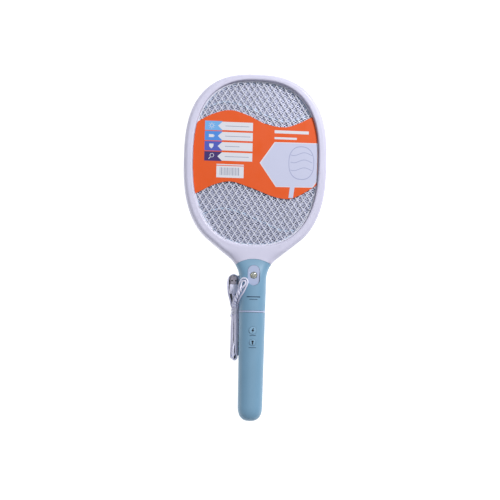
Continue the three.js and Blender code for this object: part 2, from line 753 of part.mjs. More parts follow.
// leaning on the shoulder of the handle
const RIGHT_LOOP = [
  [-23, -89, 10.6], [-21.8, -84, 17.8], [-19.4, -77, 27.5], [-14.6, -70, 33.4], [-10, -62, 36.1],
  [-8.6, -55, 36.6], [-11.4, -49.8, 35.4], [-16, -50, 32.3], [-18.9, -56, 28.9], [-20.6, -65, 26],
  [-22.9, -76, 21.5], [-24.8, -83, 16.8], [-25.8, -89, 12.8],
];

function placeInHank(geometry) {
  geometry.rotateY(THREE.MathUtils.degToRad(-HANK_TILT));
  geometry.translate(HANK_X, 0, HANK_Z);
  return geometry;
}

// round at the low end and drawn in to a waist at the tie
function hank() {
  const fold = stadium(HANK_WIDTH, HANK_WIDTH + 1, 6).filter((p) => p.y < 0);
  const outline = shifted(fold, 0, HANK_LOW_Y + HANK_WIDTH / 2 + 0.5);
  outline.push(
    new THREE.Vector2(HANK_WIDTH / 2, HANK_SHOULDER_Y),
    new THREE.Vector2(HANK_WAIST / 2, HANK_WAIST_Y),
    new THREE.Vector2(HANK_WAIST / 2, HANK_HIGH_Y),
    new THREE.Vector2(-HANK_WAIST / 2, HANK_HIGH_Y),
    new THREE.Vector2(-HANK_WAIST / 2, HANK_WAIST_Y),
    new THREE.Vector2(-HANK_WIDTH / 2, HANK_SHOULDER_Y),
  );
  return placeInHank(stack(outline, [[-HANK_DEPTH / 2, 0], [HANK_DEPTH / 2, 0]]));
}

function twistTie() {
  const length = 3;
  const wall = 0.8;
  const width = HANK_WAIST + 2 * GAP;
  const depth = HANK_DEPTH + 2 * GAP;
  const hole = block(0, TIE_Y, 0, width, length + 2, depth);
  const band = block(0, TIE_Y, 0, width + 2 * wall, length, depth + 2 * wall);
  return placeInHank(toGeometry(toSolid(band).subtract(toSolid(hole))));
}

function usbBlock({ y, z, width, length, height }) {
  return toSolid(block(PLUG_X, y, z, width, length, height));
}

function usbShell() {
  const { y, z, width, length, height, wall } = USB_SHELL;
  const mouth = toSolid(block(PLUG_X, y + 1, z, width - 2 * wall, length, height - 2 * wall));
  return toGeometry(usbBlock(USB_SHELL).subtract(mouth));
}

function usbGrip() {
  return toGeometry(usbBlock(USB_BODY).add(usbBlock(USB_RELIEF)));
}

function dcPart({ radius, high, low }) {
  const geometry = new THREE.CylinderGeometry(radius, radius, high - low, 14);
  geometry.translate(DC_X, (high + low) / 2, DC_Z);
  return geometry;
}

// ---------- assembly ----------
const group = new THREE.Group();

function add(name, geometry, look) {
  const mesh = new THREE.Mesh(geometry, look);
  mesh.name = name;
  group.add(mesh);
}

function addHead() {
  add("head_frame_front", headShell(true), finish.white());
  add("head_frame_rear", headShell(false), finish.white());
  add("front_guard", guard(true), finish.white());
  add("rear_guard", guard(false), finish.white());
  add("mesh_carrier_front", meshCarrier(true), finish.paleBlue());
  add("mesh_carrier_rear", meshCarrier(false), finish.paleBlue());
  add("front_mesh", meshLayer(side(true, OUTER_MESH_IN + MESH_HALF)), finish.silver());
  add("centre_mesh", meshLayer(MID_Z), finish.silver());
  add("rear_mesh", meshLayer(side(false, OUTER_MESH_IN + MESH_HALF)), finish.silver());
  add("label_card", labelCard(), finish.card());
  FRAME_SCREWS.forEach(([x, y], i) => {
    add(`frame_screw_${i + 1}`, screw(x, y, FRAME_SCREW), finish.steel());
  });
}

function addHandle() {
  add("neck_front", neckShell(true), finish.blue());
  add("neck_rear", neckShell(false), finish.blue());
  add("collar_ring", collarRing(), finish.white());
  add("coupling_sleeve", couplingSleeve(), finish.dark());
  add("grip_front", gripShell(true), finish.blue());
  add("grip_rear", gripShell(false), finish.blue());
  [NECK_SCREW_Y, ...GRIP_SCREWS].forEach((y, i) => {
    add(`handle_screw_${i + 1}`, screw(0, y, HANDLE_SCREW), finish.steel());
  });
}

function addLamp() {
  add("lamp_plate", lampPlate(), finish.white());
  const lensBase = LAMP_FLOOR_Z - 1.4;
  add("lamp_lens", dome(0, LAMP_Y, lensBase, LENS_RADIUS, LENS_RISE, LENS_SKIRT, 14), finish.lens());
  for (const [i, x] of [-LED_PITCH / 2, LED_PITCH / 2].entries()) {
    add(`lamp_led_${i + 1}`, dome(x, LAMP_Y, LED_BASE_Z, LED_RADIUS, 1, 1, 10), finish.led());
  }
  const { z, width, length, thickness } = LAMP_BOARD;
  add("lamp_board", block(0, LAMP_Y, z, width, length, thickness), finish.board());
}

function addElectrics() {
  add("zap_button", pushButton(ZAP_RADIUS, ZAP_Y), finish.button());
  add("light_button", pushButton(LIGHT_RADIUS, LIGHT_Y), finish.button());
  add("zap_switch", tactSwitch(ZAP_Y), finish.dark());
  add("light_switch", tactSwitch(LIGHT_Y), finish.dark());
  const boardY = BOARD_TOP_Y - BOARD_LENGTH / 2;
  const board = block(0, boardY, BOARD_Z + BOARD_THICKNESS / 2, BOARD_WIDTH, BOARD_LENGTH, BOARD_THICKNESS);
  add("circuit_board", board, finish.board());
  add("step_up_transformer", transformer(), finish.copper());
  add("storage_capacitor", capacitor(), finish.red());
  add("battery_cell", batteryCell(), finish.cell());
  add("battery_contact_positive", batteryContact(1, TERMINAL_RISE), finish.steel());
  add("battery_contact_negative", batteryContact(-1, 0), finish.steel());
  add("charging_socket", chargingSocket(), finish.dark());
  add("mesh_lead_positive", meshLead(LEAD_X, MID_Z), finish.red());
  add("mesh_lead_negative", meshLead(-LEAD_X, side(true, OUTER_MESH_IN + MESH_HALF)), finish.dark());
}

function addLead() {
  add("charging_cord_hank", hank(), finish.cord());
  add("charging_cord_plug_end", tube(PLUG_END, CORD_DIAMETER, 8, 4), finish.cord());
  add("charging_cord_left_loop", tube(LEFT_LOOP, CORD_DIAMETER, 8, 24), finish.cord());
  add("charging_cord_right_loop", tube(RIGHT_LOOP, CORD_DIAMETER, 8, 20), finish.cord());
  add("cord_twist_tie", twistTie(), finish.white());
  add("usb_plug_shell", usbShell(), finish.steel());
  add("usb_plug_grip", usbGrip(), finish.cord());
  add("charging_plug_grip", dcPart(DC_GRIP), finish.cord());
  add("charging_plug_barrel", dcPart(DC_BARREL), finish.steel());
}

addHead();
addHandle();
addLamp();
addElectrics();
addLead();

export default group;
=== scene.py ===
import math

import bmesh
import bpy
import numpy as np
from mathutils import Matrix, Vector


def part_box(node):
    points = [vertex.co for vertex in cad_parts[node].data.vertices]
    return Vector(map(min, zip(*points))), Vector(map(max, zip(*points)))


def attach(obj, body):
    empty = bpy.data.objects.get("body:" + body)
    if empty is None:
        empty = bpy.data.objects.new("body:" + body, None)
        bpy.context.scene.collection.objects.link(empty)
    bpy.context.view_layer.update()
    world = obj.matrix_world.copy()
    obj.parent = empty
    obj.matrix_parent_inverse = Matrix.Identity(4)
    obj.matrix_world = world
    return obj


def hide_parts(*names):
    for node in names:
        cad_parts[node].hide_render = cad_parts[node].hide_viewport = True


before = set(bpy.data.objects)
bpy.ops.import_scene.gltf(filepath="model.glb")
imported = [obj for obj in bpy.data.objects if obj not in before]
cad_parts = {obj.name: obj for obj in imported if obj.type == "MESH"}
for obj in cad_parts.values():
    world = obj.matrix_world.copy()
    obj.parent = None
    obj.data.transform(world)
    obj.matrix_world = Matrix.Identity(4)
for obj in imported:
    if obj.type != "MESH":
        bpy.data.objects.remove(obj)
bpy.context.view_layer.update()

# Looks of the electric fly swatter. Lengths below are millimetres in the part's own frame: +Y to the top of
# the head, +Z out of the front face. They turn into metres where a mesh or curve is made.
MM = 0.001


# ---------- dimensions shared with the CAD part ----------
TOP_Y = 260.0
BUTT_Y = -260.0
HEAD_Y = 131.0
HEAD_HALF_WIDTH = 108.0
HEAD_TOP_REACH = TOP_Y - HEAD_Y
HEAD_LOW_REACH = 142.0
HEAD_POWER = 2.58
FLANK_Y = 8.0
NECK_HALF_WIDTH = 20.0
FILLET_RADIUS = 40.0
OPENING_HALF_WIDTH = 95.0
OPENING_TOP_REACH = 119.0
OPENING_LOW_REACH = 131.0
OPENING_POWER = 2.5
FRAME_DEPTH = 30.0
MID_Z = FRAME_DEPTH / 2
GAP = 0.3
WALL = 2.2
THROAT_RADIUS = 47.0
THROAT_CENTRE_Y = -20.0 - THROAT_RADIUS
PARTING_Z = 16.5
HANDLE_FLOOR = 0.2
NECK_START_Y = -18.0
NECK_END_Y = -60.0
NECK_START_HALF_DEPTH = 14.9
HANDLE_HALF_DEPTH = 18.0
BUTT_HALF_WIDTH = 18.1
BUTT_HALF_DEPTH = 17.2
BUTT_START_Y = -237.0
BUTT_POWER = 2.6
BUTT_FLAT = 0.985
NECK_POWER = 3.4
GRIP_POWER = 2.2
COLLAR_Y = -98.3
COLLAR_HALF = 1.2
LAMP_Y = -44.5
LAMP_WIDTH = 18.4
LAMP_LENGTH = 30.4
LAMP_FLOOR_Z = 31.6
ZAP_Y = -126.2
ZAP_RADIUS = 5.6
LIGHT_Y = -143.8
LIGHT_RADIUS = 4.7
BUTTON_CLEARANCE = 0.35
SOCKET_Z = 17.0


# ---------- camera ----------
CAMERA_TARGET = (-5.0, -6.0, 15.0)
CAMERA_DISTANCE = 1500.0
CAMERA_LEFT_DEGREES = 5.0
CAMERA_LOW_DEGREES = 4.0
CAMERA_LEAN_DEGREES = 1.3
VIEW_HEIGHT = 751.0


def add_camera():
    """Looks straight down at the racket from a little to its left and a little towards its butt."""
    left = math.tan(math.radians(CAMERA_LEFT_DEGREES))
    low = math.tan(math.radians(CAMERA_LOW_DEGREES))
    out = Vector((-left, -low, 1.0)).normalized()
    target = Vector(CAMERA_TARGET) * MM
    camera = bpy.data.objects.new("camera", bpy.data.cameras.new("camera"))
    bpy.context.collection.objects.link(camera)
    camera.location = target + out * CAMERA_DISTANCE * MM
    up = Vector((0.0, 1.0, 0.0))
    right = up.cross(out).normalized()
    up = out.cross(right)
    basis = Matrix((right, up, out)).transposed()
    lean = Matrix.Rotation(math.radians(CAMERA_LEAN_DEGREES), 3, "Z")
    camera.rotation_euler = (basis @ lean).to_euler()
    camera.data.sensor_fit = "VERTICAL"
    camera.data.angle = 2 * math.atan(VIEW_HEIGHT / 2 / CAMERA_DISTANCE)
    camera.data.clip_end = 20.0
    bpy.context.scene.camera = camera


add_camera()


# ---------- materials ----------
def srgb(red, green, blue):
    """A colour given as it looks on screen, turned into the linear values that shaders use."""
    def linear(value):
        value /= 255.0
        return value / 12.92 if value <= 0.04045 else ((value + 0.055) / 1.055) ** 2.4
    return (linear(red), linear(green), linear(blue), 1.0)


NOISE_LOW = 0.3
NOISE_HIGH = 0.7


class Shader:
    """A small node material: one Principled shader with a few textures wired into it."""

    def __init__(self, name):
        self.material = bpy.data.materials.new(name)
        self.material.use_nodes = True
        self.tree = self.material.node_tree
        self.shader = self.tree.nodes["Principled BSDF"]
        self.place = self.tree.nodes.new("ShaderNodeTexCoord").outputs["Object"]

    def node(self, kind, **inputs):
        made = self.tree.nodes.new(kind)
        for name, value in inputs.items():
            made.inputs[name.replace("_", " ")].default_value = value
        return made

    def link(self, source, target):
        self.tree.links.new(source, target)

    def set(self, name, value):
        self.shader.inputs[name].default_value = value

    def noise(self, scale, detail, stretch=None):
        made = self.node("ShaderNodeTexNoise", Scale=scale, Detail=detail)
        place = self.place
        if stretch:
            mapping = self.node("ShaderNodeMapping", Scale=stretch)
            self.link(place, mapping.inputs["Vector"])
            place = mapping.outputs["Vector"]
        self.link(place, made.inputs["Vector"])
        return made.outputs["Fac"]

    def tint(self, value, low, high):
        """Colours the surface from one tone to another as a noise value rises."""
        made = self.node("ShaderNodeValToRGB")
        first, last = made.color_ramp.elements
        first.position, first.color = NOISE_LOW, low
        last.position, last.color = NOISE_HIGH, high
        self.link(value, made.inputs["Fac"])
        self.link(made.outputs["Color"], self.shader.inputs["Base Color"])

    def roughness(self, value, low, high):
        limits = {"From_Min": NOISE_LOW, "From_Max": NOISE_HIGH, "To_Min": low, "To_Max": high}
        made = self.node("ShaderNodeMapRange", **limits)
        self.link(value, made.inputs["Value"])
        self.link(made.outputs["Result"], self.shader.inputs["Roughness"])

    def bump(self, height, strength, depth_mm, before=None):
        """Dents the surface; a bump made before is kept underneath."""
        made = self.node("ShaderNodeBump", Strength=strength, Distance=depth_mm * MM)
        self.link(height, made.inputs["Height"])
        if before:
            self.link(before, made.inputs["Normal"])
        self.link(made.outputs["Normal"], self.shader.inputs["Normal"])
        return made.outputs["Normal"]


def shade(color, factor):
    return tuple(channel * factor for channel in color[:3]) + (1.0,)


def plastic(name, color, roughness, grain=0.05, mottling=0.06):
    """Moulded plastic: slow tint change, fine moulded grain and patches of handling polish."""
    s = Shader(name)
    s.tint(s.noise(14.0, 3.0), shade(color, 1 - mottling), shade(color, 1 + mottling / 2))
    s.roughness(s.noise(60.0, 4.0), roughness * 0.85, roughness * 1.2)
    fine = s.bump(s.noise(1800.0, 2.0), grain, 0.05)
    s.bump(s.noise(35.0, 2.0), 0.25, 0.25, fine)
    return s.material


def metal(name, color, roughness, stretch=(1.0, 1.0, 1.0)):
    """Bare metal with drawn or rolled streaks."""
    s = Shader(name)
    s.set("Metallic", 1.0)
    streaks = s.noise(900.0, 3.0, stretch)
    s.tint(streaks, shade(color, 0.8), color)
    s.roughness(s.noise(250.0, 3.0), roughness * 0.8, roughness * 1.3)
    s.bump(streaks, 0.3, 0.04)
    return s.material


def print_ink(name, color):
    """Ink on laminated card: faint halftone grain and a thin gloss film."""
    s = Shader(name)
    s.tint(s.noise(2600.0, 1.0), shade(color, 0.94), color)
    s.roughness(s.noise(45.0, 3.0), 0.425, 0.625)
    s.set("Specular IOR Level", 0.35)
    fibre = s.bump(s.noise(1500.0, 3.0), 0.08, 0.03)
    s.bump(s.noise(22.0, 2.0), 0.25, 0.5, fibre)
    return s.material


def clear_plastic(name, color, roughness, clearness):
    """Slightly milky moulded lens with faint flow marks."""
    s = Shader(name)
    s.set("Base Color", color)
    s.set("Transmission Weight", clearness)
    s.set("IOR", 1.49)
    s.roughness(s.noise(300.0, 2.0), roughness * 0.6, roughness * 1.4)
    s.bump(s.noise(500.0, 2.0), 0.15, 0.1)
    return s.material


def led_epoxy(name, dark, light):
    """Tinted casting resin with a glossy skin."""
    s = Shader(name)
    s.tint(s.noise(700.0, 2.0), dark, light)
    s.set("Roughness", 0.15)
    s.set("Coat Weight", 0.6)
    s.bump(s.noise(600.0, 2.0), 0.2, 0.1)
    return s.material


WHITE = plastic("white_plastic", srgb(214, 213, 236), 0.34, mottling=0.03)
GUARD_WHITE = plastic("guard_plastic", srgb(226, 228, 242), 0.4, mottling=0.03)
BLUE = plastic("blue_plastic", srgb(124, 166, 196), 0.4, grain=0.12, mottling=0.05)
BUTTON_BLUE = plastic("button_plastic", srgb(134, 176, 206), 0.45, grain=0.1)
CARRIER_BLUE = plastic("carrier_plastic", srgb(176, 208, 230), 0.42)
COLLAR = plastic("collar_plastic", srgb(178, 190, 222), 0.36)
LAMP_LAMINATE = plastic("lamp_laminate", srgb(206, 210, 214), 0.4)
DARK = plastic("dark_plastic", srgb(38, 42, 50), 0.45)
PRINT_BLUE = print_ink("handle_print", srgb(32, 54, 84))
GLYPH = print_ink("button_print", srgb(10, 22, 40))
CORD = plastic("cord_jacket", srgb(234, 234, 255), 0.42, grain=0.08, mottling=0.04)
MESH = metal("mesh_metal", srgb(210, 214, 240), 0.38)
STEEL = metal("zinc_steel", srgb(190, 192, 198), 0.28, (1.0, 8.0, 1.0))
NICKEL = metal("nickel_shell", srgb(170, 166, 180), 0.35, (8.0, 1.0, 1.0))
COPPER = metal("copper_winding", srgb(196, 118, 66), 0.35, (1.0, 30.0, 1.0))
BOARD = plastic("board_laminate", srgb(38, 104, 66), 0.35)
CAPACITOR = plastic("capacitor_film", srgb(150, 44, 38), 0.25)
CELL = plastic("cell_wrap", srgb(58, 96, 166), 0.22)
LEAD_RED = plastic("lead_positive", srgb(168, 40, 34), 0.4)
LENS = clear_plastic("clear_lens", srgb(246, 250, 246), 0.06, 0.78)
ORANGE = print_ink("card_orange", srgb(232, 86, 0))
INK_WHITE = print_ink("card_white", srgb(222, 224, 234))
INK_LILAC = print_ink("card_lilac", srgb(202, 206, 232))
INK_FAINT = print_ink("card_faint", srgb(166, 172, 206))
INK_GREY = print_ink("card_grey", srgb(160, 166, 186))
ROW_INKS = [
    print_ink("card_sky", srgb(112, 176, 236)),
    print_ink("card_azure", srgb(74, 140, 226)),
    print_ink("card_indigo", srgb(72, 88, 188)),
    print_ink("card_violet", srgb(58, 34, 108)),
]


LED = led_epoxy("led_epoxy", srgb(244, 222, 140), srgb(255, 246, 206))


# ---------- mesh helpers ----------
def piece(name, verts, faces, material, sharp=35.0):
    """A new smooth-shaded mesh object from millimetre points."""
    mesh = bpy.data.meshes.new(name)
    mesh.from_pydata([(x * MM, y * MM, z * MM) for x, y, z in verts], [], faces)
    mesh.materials.append(material)
    made = bpy.data.objects.new(name, mesh)
    bpy.context.collection.objects.link(made)
    tidy_normals(made, sharp)
    return made


def tidy_normals(made, sharp=35.0):
    work = bmesh.new()
    work.from_mesh(made.data)
    bmesh.ops.recalc_face_normals(work, faces=work.faces)
    work.to_mesh(made.data)
    work.free()
    made.data.polygons.foreach_set("use_smooth", [True] * len(made.data.polygons))
    made.data.set_sharp_from_angle(angle=math.radians(sharp))
    made.data.update()


def place(made, body, slot, *nodes):
    """Rides on a body and stands for CAD nodes, which it hides; the slot argument is not used."""
    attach(made, body)
    if nodes:
        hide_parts(*nodes)
    return made


def grid_faces(rows, columns, wrap_rows=False, wrap_columns=False):
    faces = []
    for i in range(rows if wrap_rows else rows - 1):
        for j in range(columns if wrap_columns else columns - 1):
            a = i * columns + j
            b = i * columns + (j + 1) % columns
            c = (i + 1) % rows * columns + (j + 1) % columns
            d = (i + 1) % rows * columns + j
            faces.append((a, b, c, d))
    return faces


def slab(lower, upper, rows, columns):
    """A closed thin solid between two matching grids of points."""
    half = rows * columns
    sheet = grid_faces(rows, columns)
    faces = [face[::-1] for face in sheet] + [tuple(i + half for i in face) for face in sheet]
    border = list(range(columns))
    border += [j * columns + columns - 1 for j in range(1, rows)]
    border += [(rows - 1) * columns + i for i in range(columns - 2, -1, -1)]
    border += [j * columns for j in range(rows - 2, 0, -1)]
    for a, b in zip(border, border[1:] + border[:1]):
        faces.append((a, b, b + half, a + half))
    return lower + upper, faces


def loft(rings):
    """Points and faces of a solid through rings, with both ends closed."""
    columns = len(rings[0])
    verts = [point for ring in rings for point in ring]
    faces = grid_faces(len(rings), columns, wrap_columns=True)
    last = (len(rings) - 1) * columns
    faces.append(tuple(range(columns - 1, -1, -1)))
    faces.append(tuple(last + i for i in range(columns)))
    return verts, faces


def turned_along_y(profile, x, z, sides):
    """A solid turned round an axis along Y, from pairs of radius and Y."""
    return loft([[(px, y, z + pz) for px, pz in disc_outline(x, 0, radius, sides)] for radius, y in profile])


def lathe(profile, x, y, sides=48):
    """A solid turned round a vertical axis; the profile starts and ends on the axis."""
    verts = []
    for radius, z in profile[1:-1]:
        for i in range(sides):
            angle = 2 * math.pi * i / sides
            verts.append((x + radius * math.cos(angle), y + radius * math.sin(angle), z))
    faces = grid_faces(len(profile) - 2, sides, wrap_columns=True)
    low, high = len(verts), len(verts) + 1
    verts += [(x, y, profile[0][1]), (x, y, profile[-1][1])]
    last = (len(profile) - 3) * sides
    for i in range(sides):
        j = (i + 1) % sides
        faces.append((low, j, i))
        faces.append((high, last + i, last + j))
    return verts, faces


def tube(name, lines, radius, resolution, material):
    """A round strand along each line of millimetre points, all in one curve object."""
    curve = bpy.data.curves.new(name, "CURVE")
    curve.dimensions = "3D"
    curve.bevel_depth = radius * MM
    curve.bevel_resolution = resolution
    curve.use_fill_caps = True
    for line in lines:
        spline = curve.splines.new("POLY")
        spline.points.add(len(line) - 1)
        for point, spot in zip(spline.points, line):
            point.co = (*(np.array(spot) * MM), 1.0)
        spline.use_smooth = True
    curve.materials.append(material)
    made = bpy.data.objects.new(name, curve)
    bpy.context.collection.objects.link(made)
    return made


def prism(outline, low, high):
    """An outline with straight walls between two heights."""
    count = len(outline)
    verts = [(x, y, low) for x, y in outline] + [(x, y, high) for x, y in outline]
    faces = [tuple(range(count - 1, -1, -1)), tuple(range(count, 2 * count))]
    faces += [(i, (i + 1) % count, count + (i + 1) % count, count + i) for i in range(count)]
    return verts, faces


def merged(*solids):
    verts, faces = [], []
    for some_verts, some_faces in solids:
        start = len(verts)
        verts += list(some_verts)
        faces += [tuple(start + i for i in face) for face in some_faces]
    return verts, faces


def cut(target, verts, faces, operation="DIFFERENCE"):
    """Cuts a piece with a throwaway solid and keeps only the result."""
    tool = piece("cut_tool", verts, faces, target.data.materials[0])
    modifier = target.modifiers.new("cut", "BOOLEAN")
    modifier.object = tool
    modifier.operation = operation
    modifier.solver = "EXACT"
    shaped = bpy.context.evaluated_depsgraph_get()
    mesh = bpy.data.meshes.new_from_object(target.evaluated_get(shaped))
    target.modifiers.remove(modifier)
    target.data = mesh
    bpy.data.objects.remove(tool)


def rectangle(left, bottom, width, height):
    return [(left, bottom), (left + width, bottom), (left + width, bottom + height), (left, bottom + height)]


def box_solid(low, high):
    return prism(rectangle(low[0], low[1], high[0] - low[0], high[1] - low[1]), low[2], high[2])


def disc_outline(x, y, radius, sides=64):
    return [
        (x + radius * math.cos(2 * math.pi * i / sides), y + radius * math.sin(2 * math.pi * i / sides))
        for i in range(sides)
    ]


def stadium(width, length, y, steps=24):
    """A slot outline with round ends, its long axis along Y."""
    radius = width / 2
    points = []
    for end in (0, 1):
        centre = y + (1 - 2 * end) * (length / 2 - radius)
        for i in range(steps + 1):
            angle = math.pi * (i / steps + end)
            points.append((radius * math.cos(angle), centre + radius * math.sin(angle)))
    return points


def resample(points, count):
    """The same closed line with evenly spaced points."""
    points = np.array(points, float)
    points = np.vstack([points, points[:1]])
    run = np.concatenate([[0.0], np.cumsum(np.linalg.norm(np.diff(points, axis=0), axis=1))])
    at = np.linspace(0.0, run[-1], count + 1)[:-1]
    return np.stack([np.interp(at, run, points[:, k]) for k in range(2)], axis=1)


def inward(points):
    """Unit normals that point into a counter-clockwise outline."""
    along = np.roll(points, -1, axis=0) - np.roll(points, 1, axis=0)
    along /= np.linalg.norm(along, axis=1)[:, None]
    return np.stack([-along[:, 1], along[:, 0]], axis=1)


# ---------- outlines ----------
def signed_power(value, power):
    return np.sign(value) * np.abs(value) ** power


def opening_outline(count=360, fine=4000):
    angle = np.linspace(0.0, 2 * math.pi, fine, endpoint=False)
    reach = np.where(np.sin(angle) > 0, OPENING_TOP_REACH, OPENING_LOW_REACH)
    x = OPENING_HALF_WIDTH * signed_power(np.cos(angle), 2 / OPENING_POWER)
    y = HEAD_Y + reach * signed_power(np.sin(angle), 2 / OPENING_POWER)
    return resample(np.stack([x, y], axis=1), count)


def inside_opening(x, y, margin):
    reach = np.where(y > HEAD_Y, OPENING_TOP_REACH, OPENING_LOW_REACH)
    across = np.abs(x) / (OPENING_HALF_WIDTH - margin)
    along = np.abs(y - HEAD_Y) / (reach - margin)
    return across ** OPENING_POWER + along ** OPENING_POWER < 1


def head_side_width(y):
    return HEAD_HALF_WIDTH * (1 - ((HEAD_Y - y) / HEAD_LOW_REACH) ** HEAD_POWER) ** (1 / HEAD_POWER)


def flank():
    """Angle of the straight flank from the long axis, and where the fillet below it ends."""
    step = 0.01
    slope = (head_side_width(FLANK_Y + step) - head_side_width(FLANK_Y)) / step
    lean = math.atan(slope)
    corner = FLANK_Y - (head_side_width(FLANK_Y) - NECK_HALF_WIDTH) / slope
    return lean, corner - FILLET_RADIUS * math.tan(lean / 2)


FLANK_LEAN, FILLET_END_Y = flank()


def head_side(reach, end, steps=400):
    """Right side of the head from the widest point towards one end, up to an angle of its superellipse."""
    power = 2 / HEAD_POWER
    angles = [end * i / (steps - 1) for i in range(steps)]
    return [(HEAD_HALF_WIDTH * math.cos(a) ** power, HEAD_Y + reach * math.sin(a) ** power) for a in angles]


def head_outline(count=1600, fillet_steps=60, stub_steps=40):
    """Counter-clockwise outline of the head and a rounded stub of the neck."""
    right = head_side(HEAD_TOP_REACH, math.pi / 2)[::-1]
    flank_angle = math.asin(((HEAD_Y - FLANK_Y) / HEAD_LOW_REACH) ** (HEAD_POWER / 2))
    right += [(x, 2 * HEAD_Y - y) for x, y in head_side(HEAD_LOW_REACH, flank_angle)[1:]]
    for i in range(fillet_steps):
        angle = FLANK_LEAN * (1 - i / (fillet_steps - 1))
        right.append((
            NECK_HALF_WIDTH + FILLET_RADIUS * (1 - math.cos(angle)),
            FILLET_END_Y + FILLET_RADIUS * math.sin(angle),
        ))
    for i in range(1, stub_steps):
        angle = math.pi / 2 * i / (stub_steps - 1)
        right.append((NECK_HALF_WIDTH * math.cos(angle), FILLET_END_Y - NECK_HALF_WIDTH * math.sin(angle)))
    left = [(-x, y) for x, y in right[:-1]]
    return resample(left + right[:0:-1], count)


def neck_half_width(y):
    if y < BUTT_START_Y:
        t = min((BUTT_START_Y - y) / (BUTT_START_Y - BUTT_Y), BUTT_FLAT)
        return BUTT_HALF_WIDTH * (1 - t ** BUTT_POWER) ** (1 / BUTT_POWER)
    if y <= FILLET_END_Y:
        t = (FILLET_END_Y - y) / (FILLET_END_Y - BUTT_START_Y)
        return NECK_HALF_WIDTH + (BUTT_HALF_WIDTH - NECK_HALF_WIDTH) * t
    fillet_top = FILLET_END_Y + FILLET_RADIUS * math.sin(FLANK_LEAN)
    rise = min(y, fillet_top) - FILLET_END_Y
    fillet = NECK_HALF_WIDTH + FILLET_RADIUS - math.sqrt(FILLET_RADIUS ** 2 - rise ** 2)
    return fillet + max(0.0, y - fillet_top) * math.tan(FLANK_LEAN)


def clamp(value, low=0.0, high=1.0):
    return min(max(value, low), high)


def smooth(value):
    value = clamp(value)
    return value * value * (3 - 2 * value)


def handle_section(y):
    """Half width, half depth, centre height and squareness of the handle at a station."""
    blend = smooth((y - NECK_END_Y) / (NECK_START_Y - NECK_END_Y))
    taper = clamp((NECK_END_Y - y) / (NECK_END_Y - BUTT_START_Y))
    grip = HANDLE_HALF_DEPTH + (BUTT_HALF_DEPTH - HANDLE_HALF_DEPTH) * taper
    full = grip + (NECK_START_HALF_DEPTH - grip) * blend
    rounding = neck_half_width(y) / BUTT_HALF_WIDTH if y < BUTT_START_Y else 1.0
    power = GRIP_POWER + (NECK_POWER - GRIP_POWER) * blend
    return neck_half_width(y), full * rounding, HANDLE_FLOOR + full, power


def handle_ring(y, wall=0.0, sides=96):
    half_width, half_depth, centre, power = handle_section(y)
    ring = []
    for i in range(sides):
        angle = 2 * math.pi * (i + 0.5) / sides
        across = float(signed_power(math.cos(angle), 2 / power))
        up = float(signed_power(math.sin(angle), 2 / power))
        ring.append(((half_width - wall) * across, y, centre + (half_depth - wall) * up))
    return ring


def handle_top(x, y):
    """Height of the handle's front surface."""
    half_width, half_depth, centre, power = handle_section(y)
    return centre + half_depth * max(0.0, 1 - abs(x / half_width) ** power) ** (1 / power)


OPENING = opening_outline()
HEAD = head_outline()


# ---------- head shells ----------
OUTER_ROUND = (6.0, 9.0)
INNER_ROUND = 2.4
LIP_IN = 5.2
CHANNEL_INSET = 2.0
RIM_LEDGE = 5.0
THROAT_BLEND = (-5.0, -20.0)
FRAME_SCREW_ANGLES = (56, 0, -52, -128, 180, 124)


def edge_path():
    """The head's outline with the hollow throat arc for a neck, and the two points where they meet."""
    outside = np.hypot(HEAD[:, 0], HEAD[:, 1] - THROAT_CENTRE_Y) > THROAT_RADIUS
    kept = HEAD[outside & (HEAD[:, 1] > FILLET_END_Y)]
    left, right = kept[kept[:, 0] <= 0], kept[kept[:, 0] > 0]
    end = math.atan2(right[0][1] - THROAT_CENTRE_Y, right[0][0])
    angles = np.linspace(math.pi - end, end, 120)
    arc = np.stack([np.cos(angles), np.sin(angles)], axis=1) * THROAT_RADIUS + [0.0, THROAT_CENTRE_Y]
    return np.vstack([left, arc, right]), (arc[0], arc[-1])


def rays_to_edge(inner):
    """For each point of the opening, the point of the head's edge straight out from it."""
    path, meets = edge_path()
    out = -inward(inner)
    start, step = path, np.roll(path, -1, axis=0) - path
    hits = []
    for origin, along in zip(inner, out):
        cross = along[0] * step[:, 1] - along[1] * step[:, 0] + 1e-12
        gap = start - origin
        reach = (gap[:, 0] * step[:, 1] - gap[:, 1] * step[:, 0]) / cross
        share = (gap[:, 0] * along[1] - gap[:, 1] * along[0]) / cross
        good = (share >= 0) & (share <= 1) & (reach > 0.5)
        hits.append(origin + along * reach[good].min())
    hits = np.array(hits)
    for meet in meets:
        hits[np.argmin(np.linalg.norm(hits - meet, axis=1))] = meet
    return hits


def distance_to(points, line):
    """Distance of each point from a closed line, a few hundred of its segments at a time."""
    steps = np.roll(line, -1, axis=0) - line
    best = np.full(len(points), np.inf)
    for first in range(0, len(line), 200):
        step = steps[None, first:first + 200]
        gap = points[:, None] - line[None, first:first + 200]
        share = np.clip((gap * step).sum(axis=2) / (step ** 2).sum(axis=2), 0, 1)
        away = gap - share[:, :, None] * step
        best = np.minimum(best, np.hypot(away[:, :, 0], away[:, :, 1]).min(axis=1))
    return best


def edge_drop(distance, across, deep):
    """How far a quarter-ellipse edge has fallen at a distance in from it."""
    share = np.clip(1 - distance / across, 0, 1)
    return deep * (1 - np.sqrt(1 - share ** 2))


